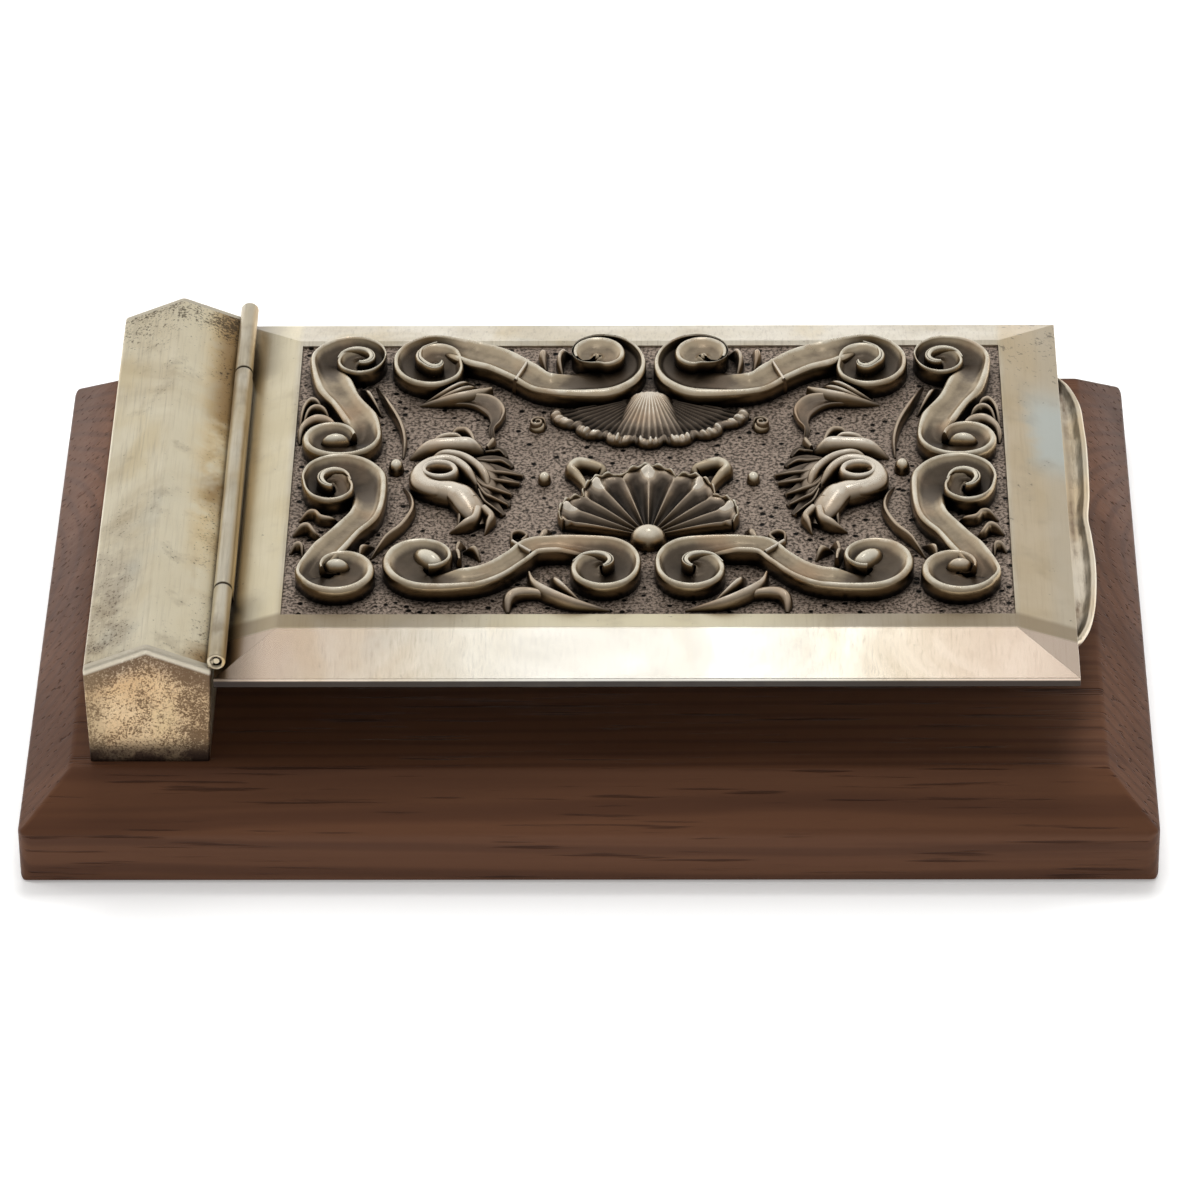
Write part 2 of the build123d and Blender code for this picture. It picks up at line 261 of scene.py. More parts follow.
def close_up(shape, data):
    """Merges a shape's doubled points, turns its faces outwards and puts it in a mesh, smooth."""
    bmesh.ops.remove_doubles(shape, verts=shape.verts, dist=1e-7)
    bmesh.ops.recalc_face_normals(shape, faces=shape.faces)
    shape.to_mesh(data)
    shape.free()
    for face in data.polygons:
        face.use_smooth = True


def mesh_object(name, shape, material):
    """An object at the origin, made from a shape."""
    data = bpy.data.meshes.new(name)
    close_up(shape, data)
    data.materials.append(material)
    made = bpy.data.objects.new(name, data)
    bpy.context.collection.objects.link(made)
    return made


def finish_modifiers(made):
    """Replaces an object's mesh with what its modifiers make of it."""
    evaluated = made.evaluated_get(bpy.context.evaluated_depsgraph_get())
    data = bpy.data.meshes.new_from_object(evaluated)
    made.modifiers.clear()
    made.data = data


def bridge(shape, here, there):
    """Faces from one ring of points to the next."""
    for k in range(len(here)):
        shape.faces.new((here[k - 1], here[k], there[k], there[k - 1]))


def make_board():
    bevel_run, bevel_rise = 8.1 * mm, 7.1 * mm
    arris, corner = 0.55 * mm, 2.2 * mm
    low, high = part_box("wooden_base")
    shape = bmesh.new()
    rings = []
    for inset, z in ((0, low.z), (0, high.z - bevel_rise), (bevel_run, high.z)):
        rings.append([shape.verts.new((x, y, z)) for x, y in (
            (low.x + inset, low.y + inset), (high.x - inset, low.y + inset),
            (high.x - inset, high.y - inset), (low.x + inset, high.y - inset))])
    shape.faces.new(rings[0])
    shape.faces.new(rings[-1])
    for below, above in zip(rings, rings[1:]):
        bridge(shape, below, above)
    weight = shape.edges.layers.float.new("bevel_weight_edge")
    for edge in shape.edges:
        upright = (edge.verts[0].co - edge.verts[1].co).xy.length < 1e-6
        edge[weight] = 1.0 if upright else arris / corner
    board = mesh_object("board", shape, walnut())
    rounding = board.modifiers.new("eased_arrises", "BEVEL")
    rounding.width, rounding.segments, rounding.limit_method = corner, 5, "WEIGHT"
    finish_modifiers(board)
    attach(board, "base")
    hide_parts("wooden_base")


make_board()


# ---- Baize --------------------------------------------------------------------------------------
# Green wool baize glued into a shallow recess under the board, so that it doesn't mark the desk.
# Short matted fibres.

def baize():
    felt = Finish("green_baize", Roughness=0.95, Specular_IOR_Level=0.2)
    nap = felt.cloud(900, 4, 0.7)
    patches = felt.cloud(60, 2, 0.5)
    colour = felt.mix(felt.fade(nap, 0.35, 0.65), (0.010, 0.050, 0.024), (0.028, 0.105, 0.052))
    felt.surface(Base_Color=felt.mix(patches * 0.4, colour, (0.020, 0.070, 0.040)))
    felt.bump(nap, 0.0003)
    return felt.material


def dress(material, *nodes):
    """Gives solid nodes their finish."""
    for node in nodes:
        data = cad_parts[node].data
        data.materials.clear()
        data.materials.append(material)


dress(baize(), "base_baize")


# ---- Hinge housing ------------------------------------------------------------------------------
# A gable-roofed housing folded from silver sheet, with an end plate soldered into each end. It is
# screwed to the board from below and carries the hinge. Its polish has worn to a warm tarnish.

housing_low, housing_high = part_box("hinge_housing")
roof_ridge = (housing_low.x + housing_high.x) / 2 / mm
gable_foot = housing_low.z / mm
gable_peak = housing_high.z / mm


def tarnished(name, bright, warm):
    """Old silver: brushed along its length, and clouded with warm and bluish tarnish."""
    silver = Finish(name, Metallic=1.0)
    silver.clouds = silver.cloud(45, 4, 0.6, warp=0.8)
    silver.brushing = silver.cloud(110, 3, 0.6, (7, 0.35, 4))
    yellow = silver.fade(silver.cloud(70, 3, 0.55, (1.4, 0.6, 1)), 0.52, 0.70)
    blue = silver.fade(silver.cloud(52, 3, 0.55, (1.2, 0.7, 1)), 0.56, 0.74)
    hairlines = silver.cloud(260, 3, 0.7, (9, 0.3, 5))
    colour = silver.coats(
        bright,
        (silver.fade(silver.clouds, 0.35, 0.68), warm),
        (yellow * 0.40, (0.66, 0.52, 0.27)),
        (blue * 0.40, (0.52, 0.55, 0.52)),
        (silver.fade(hairlines, 0.45, 0.80) * 0.45, (0.34, 0.28, 0.20)),
        (silver.brushing * 0.14, (0.30, 0.26, 0.20)))
    return silver, colour


def roof_silver():
    silver, base = tarnished("roof_silver", (0.80, 0.73, 0.56), (0.66, 0.57, 0.40))
    x, y = silver.axis("X"), silver.axis("Y")
    specks = silver.cloud(2100, 3, 0.65)
    blotches = silver.cloud(170, 3, 0.65)
    patches = silver.cloud(48, 3, 0.6)
    # Painted highlight: the whole right slope of the roof is painted lighter than the left slope.
    right_slope_highlight = silver.fade(x, roof_ridge - 0.4, roof_ridge + 0.4)
    rear = silver.fade(y, 30, 46)
    front_left = silver.fade(x, roof_ridge - 1, roof_ridge - 6) * silver.fade(y, 0, -44)
    by_hinge = silver.fade(x, roof_ridge + 4.0, roof_ridge + 8.2)
    patchiness = silver.clouds + 0.25 * blotches + 0.28 * silver.fade(y, 2, 26)
    yellowed = silver.fade(x, roof_ridge + 2.6, roof_ridge + 7) * silver.fade(y, -44, -10)
    speckled = 0.18 * rear + 0.14 * front_left + 0.10 * by_hinge
    pitting = silver.fade(specks + 0.40 * blotches + 0.25 * patches + speckled, 0.98, 1.14)
    colour = silver.coats(
        base,
        (right_slope_highlight * 0.45, (0.99, 0.90, 0.68)),
        (yellowed * silver.fade(blotches, 0.25, 0.6) * 0.6, (0.80, 0.58, 0.26)),
        (by_hinge * silver.fade(patchiness, 0.50, 0.78) * 0.85, (0.34, 0.20, 0.07)),
        (front_left * silver.fade(blotches, 0.30, 0.65) * 0.55, (0.22, 0.15, 0.10)),
        (silver.fade(blotches + 0.3 * patches, 0.70, 0.92) * 0.35, (0.34, 0.27, 0.18)),
        (pitting * 0.80, (0.10, 0.075, 0.05)))
    silver.surface(Base_Color=colour, Roughness=0.33 + 0.15 * silver.clouds + 0.2 * pitting)
    silver.bump(silver.brushing * 0.2 - pitting, 0.00004, 0.6)
    return silver.material


def gable_silver():
    roof_fall = 0.41
    silver, base = tarnished("gable_silver", (0.80, 0.61, 0.38), (0.68, 0.46, 0.25))
    x, z = silver.axis("X"), silver.axis("Z")
    specks = silver.cloud(1700, 3, 0.7)
    fine = silver.cloud(3400, 2, 0.6)
    blotches = silver.cloud(240, 3, 0.65)
    below_roof = (gable_peak - roof_fall * abs(x - roof_ridge)) - z
    # Painted shade: a darker band on the end plate under the roof's edge.
    band_under_roof = silver.fade(below_roof, 6.0, 1.2)
    # Painted highlight: a thin bright line along the top of the end plate, just under the roof.
    seam_highlight = silver.fade(below_roof, 1.3, 0.7)
    # Painted shadow: the end plate turns near black towards its foot, where it stands on the board.
    foot = silver.fade(z + 2.4 * (blotches - 0.5), gable_foot + 5.0, gable_foot + 1.4)
    right_side = silver.fade(x, roof_ridge + 1, roof_ridge + 8)
    left_side = silver.fade(x, roof_ridge - 5, roof_ridge - 9)
    lower_half = silver.fade(z, gable_foot + 8, gable_foot)
    worn = 0.14 * band_under_roof + 0.10 * right_side + 0.05 * left_side + 0.06 * lower_half
    pitting = silver.fade(0.65 * specks + 0.35 * fine + 0.45 * blotches + worn, 0.70, 0.90)
    colour = silver.coats(
        base,
        (band_under_roof * 0.60, (0.34, 0.29, 0.24)),
        (right_side * 0.35, (0.36, 0.25, 0.15)),
        (pitting * 0.78, (0.17, 0.10, 0.055)),
        (left_side * 0.45, (0.34, 0.25, 0.15)),
        (foot * (0.82 + 0.18 * silver.fade(blotches, 0.30, 0.55)), (0.045, 0.028, 0.021)),
        (seam_highlight, (0.74, 0.68, 0.56)))
    silver.surface(Base_Color=colour, Roughness=0.45 + 0.2 * pitting)
    silver.bump(specks - pitting, 0.00005, 0.6)
    return silver.material


dress(roof_silver(), "hinge_housing")
dress(gable_silver(), "housing_end_front", "housing_end_rear")


# ---- Fixings ------------------------------------------------------------------------------------
# Two brass bars soldered across the inside of the housing, each tapped for a steel screw that comes
# up through a counterbore in the board with a washer under its head.

def brass():
    metal = Finish("old_brass", Metallic=1.0)
    clouds = metal.cloud(220, 3, 0.6)
    metal.surface(Base_Color=metal.mix(clouds, (0.55, 0.38, 0.14), (0.24, 0.15, 0.06)),
                  Roughness=0.3 + 0.3 * clouds)
    return metal.material


def steel():
    metal = Finish("screw_steel", Metallic=1.0)
    turning = metal.cloud(700, 2, 0.5, (1, 1, 0.2))
    metal.surface(Base_Color=metal.mix(turning, (0.42, 0.41, 0.39), (0.20, 0.18, 0.16)),
                  Roughness=0.35 + 0.2 * turning)
    return metal.material


dress(brass(), "fixing_bar_front", "fixing_bar_rear")
dress(steel(), "fixing_screws", "screw_washers")


# ---- Hinge --------------------------------------------------------------------------------------
# A three-knuckle hinge of drawn silver tube along the housing's eaves. The end knuckles are
# soldered to the roof and the long middle one to the cover, and it turns on a plain silver pin.

pin_low, pin_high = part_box("hinge_pin")
pin_x, pin_z = (pin_low.x + pin_high.x) / 2, (pin_low.z + pin_high.z) / 2
knuckles = [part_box("knuckle_" + place) for place in ("front", "middle", "rear")]
joint_places = [(front[1].y + rear[0].y) / 2 / mm for front, rear in zip(knuckles, knuckles[1:])]


def tube_silver():
    silver, base = tarnished("tube_silver", (0.72, 0.66, 0.53), (0.58, 0.49, 0.34))
    grime = silver.cloud(260, 3, 0.6, (1, 0.4, 1))
    near_joint = 0.0
    for place in joint_places:
        near_joint = silver.fade(abs(silver.axis("Y") - place), 0.5, 0.15) + near_joint
    # Painted shade: brown on the side of the tube that faces the cover.
    cover_side_shade = silver.fade(silver.axis("X"), pin_x / mm + 0.4, pin_x / mm + 1.3)
    colour = silver.coats(
        base,
        (silver.fade(grime, 0.5, 0.8) * 0.6, (0.22, 0.15, 0.08)),
        (cover_side_shade * 0.7, (0.50, 0.33, 0.12)),
        (near_joint * 0.9, (0.05, 0.035, 0.02)),
        # Painted shade: near black inside the bore and in the narrow gaps beside the tube.
        (silver.fade(silver.openness(1.6 * mm), 0.85, 0.35), (0.04, 0.028, 0.020)))
    silver.surface(Base_Color=colour, Roughness=0.25 + 0.25 * grime)
    return silver.material


def make_knuckle(place, body, web_end, web_top, web_under):
    """A length of tube with rounded lips, its bore, and the web of solder that joins it to one side."""
    node = "knuckle_" + place
    low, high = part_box(node)
    outer, bore, bore_mouth, lip, sides = 1.45 * mm, 0.90 * mm, 1.2 * mm, 0.16 * mm, 40
    web_margin, web_round = 0.25 * mm, 0.12 * mm
    toward = -outer if web_end < pin_x else outer
    shape = bmesh.new()
    half_tube = [(bore_mouth, bore), (0, bore), (0, outer - lip),
                 (0.3 * lip, outer - 0.3 * lip), (lip, outer)]
    outline = [(low.y + inwards, radius) for inwards, radius in half_tube]
    outline += [(high.y - inwards, radius) for inwards, radius in reversed(half_tube)]
    rings = [[shape.verts.new((pin_x + radius * math.cos(2 * math.pi * k / sides), y,
                               pin_z + radius * math.sin(2 * math.pi * k / sides))) for k in range(sides)]
             for y, radius in outline]
    for here, there in zip(rings, rings[1:] + rings[:1]):
        bridge(shape, here, there)
    web = [(pin_x + 0.3 * toward, pin_z + 0.93 * outer), (pin_x + 0.86 * toward, pin_z + 0.45 * outer),
           (pin_x + 1.08 * toward, pin_z + web_top + web_round), (web_end, pin_z + web_top),
           (web_end, pin_z + web_under), (pin_x + 0.9 * toward, pin_z + web_under),
           (pin_x + 0.3 * toward, pin_z - 0.8 * outer)]
    ends = [[shape.verts.new((x, y, z)) for x, z in web] for y in (low.y + web_margin, high.y - web_margin)]
    shape.faces.new(ends[0])
    shape.faces.new(ends[1])
    bridge(shape, *ends)
    made = mesh_object(node + "_tube", shape, tube_finish)
    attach(made, body)
    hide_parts(node)


tube_finish = tube_silver()
dress(tube_finish, "hinge_pin")
eaves = housing_high.x - 0.5 * mm
cover_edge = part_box("cover_frame")[0].x + 1.5 * mm
make_knuckle("front", "base", eaves, -1.0 * mm, -2.2 * mm)
make_knuckle("middle", "cover", cover_edge, -2.6 * mm, -3.0 * mm)
make_knuckle("rear", "base", eaves, -1.0 * mm, -2.2 * mm)


# ---- Cover --------------------------------------------------------------------------------------
# A shallow tray of silver sheet with four wide mitred bevels round a level rim, closed at the
# back by a flat plate. Its colour carries painted light: a painted highlight in the middle of the
# front bevel and of the rim, painted shade towards their ends, ragged with tarnish clouds on the
# bevel, a left bevel painted lighter and a right bevel painted darker, painted shade beside the
# hinge tube, and painted shade along the foot of the upright outer edge.

cover_low, cover_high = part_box("cover_frame")
plaque_window = (Vector((-48.1, -40.5, 0)) * mm, Vector((66.6, 36.6, 0)) * mm)


def cover_silver():
    silver, base = tarnished("cover_silver", (0.80, 0.74, 0.62), (0.66, 0.58, 0.43))
    x, y, z = silver.axis("X"), silver.axis("Y"), silver.axis("Z")
    left, front, foot, right = cover_low.x / mm, cover_low.y / mm, cover_low.z / mm, cover_high.x / mm
    specks = silver.cloud(1100, 2, 0.6)
    blotches = silver.cloud(120, 3, 0.65)
    bevel_front = silver.fade(y, front + 9.9, front + 9.0)
    elsewhere = 1 - bevel_front
    # Painted light: the left bevel is painted lighter and warmer, and the right bevel darker.
    lit_left_bevel = silver.fade(x, left + 10.2, left + 8.5) * elsewhere
    shaded_right_bevel = silver.fade(x, right - 10.2, right - 8.5) * elsewhere
    front_half = silver.fade(y, front + 14, front + 12.6)
    off_middle = abs((x - (left + right) / 2) / ((right - left) / 2))
    # Painted highlight in the middle of the level rim's front half, and painted shade towards its ends.
    rim_highlight = silver.fade(off_middle, 0.60, 0.15) * elsewhere * front_half
    rim_ends_shade = silver.fade(off_middle, 0.15, 0.75) * elsewhere * front_half
    # Painted highlight in the middle of the front bevel, and painted shade towards its corners, ragged with
    # tarnish clouds.
    bevel_highlight = bevel_front * silver.fade(off_middle, 0.65, 0.20)
    bevel_ends_shade = bevel_front * silver.fade(off_middle + 0.30 * silver.clouds, 0.50, 1.10)
    outer_right = silver.fade(x, right - 5, right - 2)
    bluish = silver.fade(y, -2, 8) * silver.fade(y, 30, 18) * silver.fade(x + 6 * blotches, right - 4, right)
    # Painted shade beside the hinge tube, in blotches.
    by_hinge = silver.fade(x, left + 3.2, left + 0.8) * silver.fade(blotches, 0.25, 0.60)
    beside_ends = silver.fade(x, left + 9, left + 1.5) * (silver.fade(y, 24, 33) + silver.fade(y, -31, -37))
    # Painted shade: the foot of the upright outer edge is painted near black.
    edge_foot_shade = silver.fade(z, foot + 1.35, foot + 1.0)
    rear_right = shaded_right_bevel * silver.fade(y, 22, 36)
    pitting = silver.fade(specks + 0.4 * blotches + 0.14 * rear_right, 0.90, 1.02)
    colour = silver.coats(
        base,
        (rim_highlight * 0.8, (0.99, 0.91, 0.66)),
        (lit_left_bevel * 0.55, (0.92, 0.82, 0.56)),
        (shaded_right_bevel * 0.65, (0.66, 0.52, 0.33)),
        (outer_right * 0.35, (0.62, 0.58, 0.50)),
        (bluish * 0.8, (0.62, 0.68, 0.66)),
        (bevel_highlight * 0.75, (0.76, 0.74, 0.69)),
        (bevel_ends_shade * 0.7, (0.66, 0.50, 0.40)),
        (rim_ends_shade * 0.7, (0.33, 0.25, 0.16)),
        (by_hinge * 0.75, (0.22, 0.15, 0.09)),
        (beside_ends * silver.fade(blotches, 0.15, 0.45) * 0.75, (0.11, 0.085, 0.065)),
        (edge_foot_shade * 0.97, (0.030, 0.024, 0.022)),
        (silver.fade(blotches, 0.5, 0.8) * 0.30 * (1 - 0.8 * bevel_front), (0.36, 0.29, 0.20)),
        (pitting * (1 - 0.7 * bevel_front) * 0.6, (0.13, 0.11, 0.09)))
    silver.surface(Base_Color=colour, Roughness=0.24 + 0.18 * silver.clouds - 0.08 * bevel_front)
    silver.bump((silver.brushing * 0.12 - pitting) * elsewhere, 0.00003, 0.35)
    return silver.material


def make_cover():
    bevel_run, edge_height, rim_height = 9.5 * mm, 1.6 * mm, 4.7 * mm
    sheet, arris, shallowest_arris = 1.2 * mm, 0.28 * mm, math.radians(12)
    edge = (cover_low.x, cover_high.x, cover_low.y, cover_high.y)
    window = (plaque_window[0].x, plaque_window[1].x, plaque_window[0].y, plaque_window[1].y)

    def inset(by):
        return edge[0] + by, edge[1] - by, edge[2] + by, edge[3] - by

    outline = [(edge, 0), (edge, edge_height), (inset(bevel_run), rim_height), (window, rim_height),
               (window, rim_height - sheet), (inset(bevel_run), rim_height - sheet),
               (inset(sheet), edge_height - sheet / 2), (inset(sheet), 0)]
    shape = bmesh.new()
    rings = [[shape.verts.new((x, y, cover_low.z + rise))
              for x, y in ((x0, y0), (x1, y0), (x1, y1), (x0, y1))] for (x0, x1, y0, y1), rise in outline]
    for here, there in zip(rings, rings[1:] + rings[:1]):
        bridge(shape, here, there)
    cover = mesh_object("cover", shape, cover_silver())
    rounding = cover.modifiers.new("soft_arrises", "BEVEL")
    rounding.width, rounding.segments, rounding.limit_method = arris, 3, "ANGLE"
    rounding.angle_limit = shallowest_arris
    rounding.harden_normals = True
    finish_modifiers(cover)
    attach(cover, "cover")
    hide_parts("cover_frame")


make_cover()


def back_silver():
    silver, base = tarnished("back_silver", (0.60, 0.56, 0.48), (0.44, 0.38, 0.28))
    silver.surface(Base_Color=base, Roughness=0.35 + 0.2 * silver.clouds)
    silver.bump(silver.brushing, 0.00003, 0.5)
    return silver.material


dress(back_silver(), "cover_back_plate")


# ---- Plaque ground ------------------------------------------------------------------------------
# The plaque's background, just below the cover's rim. It is matted all over with a fine punch and
# darkened with sulphur, with single deep punch marks scattered through it.

ground = cover_high.z / mm - 0.4
plaque_middle = (plaque_window[0].x + plaque_window[1].x) / 2 / mm


class Making(Tree):
    """A tree that makes a shape. Its named inputs are set on the modifier."""

    def __init__(self, name, **inputs):
        super().__init__(bpy.data.node_groups.new(name, "GeometryNodeTree"))
        sockets = self.tree.interface
        sockets.new_socket("Geometry", in_out="OUTPUT", socket_type="NodeSocketGeometry")
        sockets.new_socket("Geometry", in_out="INPUT", socket_type="NodeSocketGeometry")
        self.keys = {}
        for label, kind in {**inputs, "Material": "Material"}.items():
            added = sockets.new_socket(label, in_out="INPUT", socket_type="NodeSocket" + kind)
            self.keys[label] = added.identifier
        self.entry = self.tree.nodes.new("NodeGroupInput")

    def value(self, label):
        return Number(self, self.entry.outputs[label])

    def named(self, label, kind="FLOAT"):
        return self.node("GeometryNodeInputNamedAttribute", {"data_type": kind}, {"Name": label})

    def end(self, geometry):
        whole = self.node("GeometryNodeRealizeInstances", sockets={0: geometry})
        painted = self.node("GeometryNodeSetMaterial", sockets={0: whole, "Material": self.value("Material")})
        self.feed(self.tree.nodes.new("NodeGroupOutput").inputs[0], painted)

    def make(self, made, **values):
        """Runs the tree on an object and leaves its result there as a plain mesh."""
        modifier = made.modifiers.new(self.tree.name, "NODES")
        modifier.node_group = self.tree
        for label, value in values.items():
            modifier[self.keys[label]] = value
        finish_modifiers(made)
        shape = bmesh.new()
        shape.from_mesh(made.data)
        close_up(shape, made.data)


def patina(name, lowest, low, middle, high, highest, grimed):
    """Oxidised silver: grimed is how black its hollows are, and it is rubbed bright where polish is 1."""
    silver = Finish(name, Metallic=1.0)
    polish = silver.node("ShaderNodeAttribute", {"attribute_name": "polish"}, output="Fac")
    grime = silver.cloud(420, 4, 0.65)
    rubbed = polish + 0.22 * (grime - 0.5)
    warm = silver.fade(silver.cloud(110, 2, 0.5), 0.5, 0.75) * silver.fade(rubbed, 0.35, 0.75)
    # Painted sheen: steep walls that don't face up are painted golden brown where rubbed.
    facing_up = silver.node("ShaderNodeSeparateXYZ", sockets={
        0: silver.node("ShaderNodeTexCoord", output="Normal")}, output="Z")
    wall_sheen = silver.fade(facing_up, 0.75, 0.15) * silver.fade(rubbed, 0.15, 0.45)
    colour = silver.coats(
        lowest,
        (silver.fade(rubbed, 0.02, 0.30), low),
        (silver.fade(rubbed, 0.30, 0.62), middle),
        (silver.fade(rubbed, 0.58, 0.84), high),
        (silver.fade(rubbed, 0.84, 0.98), highest),
        (warm * 0.40, (0.66, 0.43, 0.26)),
        (wall_sheen * 0.50, (0.36, 0.24, 0.10)),
        (silver.fade(silver.openness(2.6 * mm), 0.92, 0.34) * grimed, lowest))
    silver.surface(Base_Color=colour, Roughness=0.34 - 0.14 * polish + 0.14 * grime)
    silver.bump(grime, 0.00004, 0.6)
    return silver.material


def matted_silver():
    silver = Finish("matted_ground", Metallic=1.0)
    stipple = silver.cloud(1900, 3, 0.65)
    clouds = silver.cloud(90, 3, 0.6)
    punches = {"Vector": silver.place(), "Scale": 540, "Randomness": 1.0}
    distance, picked = (silver.node("ShaderNodeTexVoronoi", {"feature": "F1"}, punches, output)
                        for output in ("Distance", "Color"))
    chance = silver.node("ShaderNodeSeparateColor", sockets={0: picked}, output="Red")
    holes = silver.fade(distance, 0.28, 0.17) * silver.fade(chance + 0.5 * clouds, 0.72, 0.80)
    colour = silver.coats(
        (0.100, 0.078, 0.062),
        (silver.fade(stipple, 0.38, 0.60), (0.58, 0.47, 0.39)),
        (silver.fade(clouds, 0.45, 0.8) * 0.35, (0.11, 0.082, 0.062)),
        (silver.fade(silver.openness(2.5 * mm), 0.80, 0.22), (0.020, 0.015, 0.012)),
        (holes, (0.006, 0.005, 0.004)))
    silver.surface(Base_Color=colour, Roughness=0.42 + 0.2 * stipple)
    silver.bump(stipple - 1.5 * holes, 0.00016)
    return silver.material


def make_ground():
    spacing, lap, roughness = 0.36 * mm, 0.4 * mm, 0.16 * mm
    low, high = plaque_window
    middle, size = (low + high) / 2, high - low
    making = Making("punch_matting", Wide="Float", Deep="Float", Across="Int", Along="Int",
                    Roughness="Float", Seed="Float")
    sheet = making.node("GeometryNodeMeshGrid", sockets={
        "Size X": making.value("Wide"), "Size Y": making.value("Deep"),
        "Vertices X": making.value("Across"), "Vertices Y": making.value("Along")})
    rough, swell = (making.node("ShaderNodeTexNoise", {"noise_dimensions": "4D"}, {
        "Vector": making.node("GeometryNodeInputPosition"), "W": making.value("Seed"),
        "Scale": scale, "Detail": detail}) for scale, detail in ((650, 2), (120, 1)))
    height = ((rough - 0.5) + (swell - 0.5) * 2) * making.value("Roughness")
    lifted = making.node("GeometryNodeSetPosition", sockets={
        0: sheet, "Offset": making.node("ShaderNodeCombineXYZ", sockets={"Z": height})})
    making.end(making.node("GeometryNodeTransform", sockets={
        0: lifted, "Translation": (middle.x, middle.y, ground * mm)}))
    made = bpy.data.objects.new("plaque_ground", bpy.data.meshes.new("plaque_ground"))
    bpy.context.collection.objects.link(made)
    making.make(made, Wide=size.x + lap, Deep=size.y + lap, Across=int(size.x / spacing),
                Along=int(size.y / spacing), Roughness=roughness, Seed=3.0, Material=matted_silver())
    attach(made, "cover")
    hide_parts("relief_plaque")


make_ground()


# ---- Scrolls ------------------------------------------------------------------------------------
# Eight bold S-scrolls round the plaque, raised from the sheet and chased. Each is a band with a
# bright bead along its outer edge and a dished face, rolled up into a volute at both ends.

relief_height = 3.25
foot_depth = 0.4


def along(values, place):
    """A smooth value between the numbers of a list."""
    place = min(max(place, 0), len(values) - 1)
    k = min(int(place), len(values) - 2)
    share = place - k
    before, here, after, beyond = (values[min(max(k + step, 0), len(values) - 1)] for step in (-1, 0, 1, 2))
    return 0.5 * (2 * here + (after - before) * share
                  + (2 * before - 5 * here + 4 * after - beyond) * share ** 2
                  + (3 * here - before - 3 * after + beyond) * share ** 3)


def volute(middle, start, hand, radii, fill=0.5):
    """Stations of a band from its mouth to its eye, from its outer radius at each quarter turn."""
    closing_turns, filling_turns = 1.2, 1.5
    stations = []
    quarters = len(radii) - 1
    for step in range(3 * quarters + 1):
        turn = step / 3
        outer = along(radii, turn)
        past = turn + 4 - quarters
        inner = along(radii, turn + 4) if past <= 0 else radii[-1] * max(0, 1 - past / closing_turns)
        angle = math.radians(start + hand * 90 * turn)
        centre = (outer + inner) / 2
        filled = fill * min(max(past / filling_turns, 0), 1)
        stations.append((middle[0] + centre * math.cos(angle), middle[1] + centre * math.sin(angle),
                         (outer - inner) / 2, hand * (1 - filled), relief_height))
    return stations


def strap(*rows):
    """Stations of the plain stretch between two volutes, from (x, y, half width) rows."""
    return [(x, y, half, 0.0, relief_height) for x, y, half in rows]


def scroll(first, middle, second):
    """A whole S-scroll: the first volute unrolled, the strap, and the second volute rolled up."""
    outward = [(x, y, half, -side, height) for x, y, half, side, height in reversed(first)]
    return outward + middle + second


def mirrored(path):
    return [(2 * plaque_middle - x, y, half, -side, height) for x, y, half, side, height in path]


def both_ways(*paths):
    return list(paths) + [mirrored(path) for path in paths]


def bump_at(place, centre, reach):
    """A rounded hump, 1 at its centre and 0 past its reach."""
    return max(0, 1 - ((place - centre) / reach) ** 2)


def profile_object(name, across, outer, plain):
    """The section that is swept, as a closed outline with its heights for each way the band faces."""
    count = len(across)
    data = bpy.data.meshes.new(name)
    data.from_pydata([(place * mm, 0, 0) for place in across],
                     [(k, (k + 1) % count) for k in range(count)], [])
    top = across[1:-1]
    rows = {"across": across,
            "high_right": [0.0, *(outer(place) for place in top), 0.0],
            "high_left": [0.0, *(outer(-place) for place in top), 0.0],
            "high_plain": [0.0, *(plain(place) for place in top), 0.0]}
    for label, values in rows.items():
        data.attributes.new(label, "FLOAT", "POINT").data.foreach_set("value", values)
    return bpy.data.objects.new(name, data)


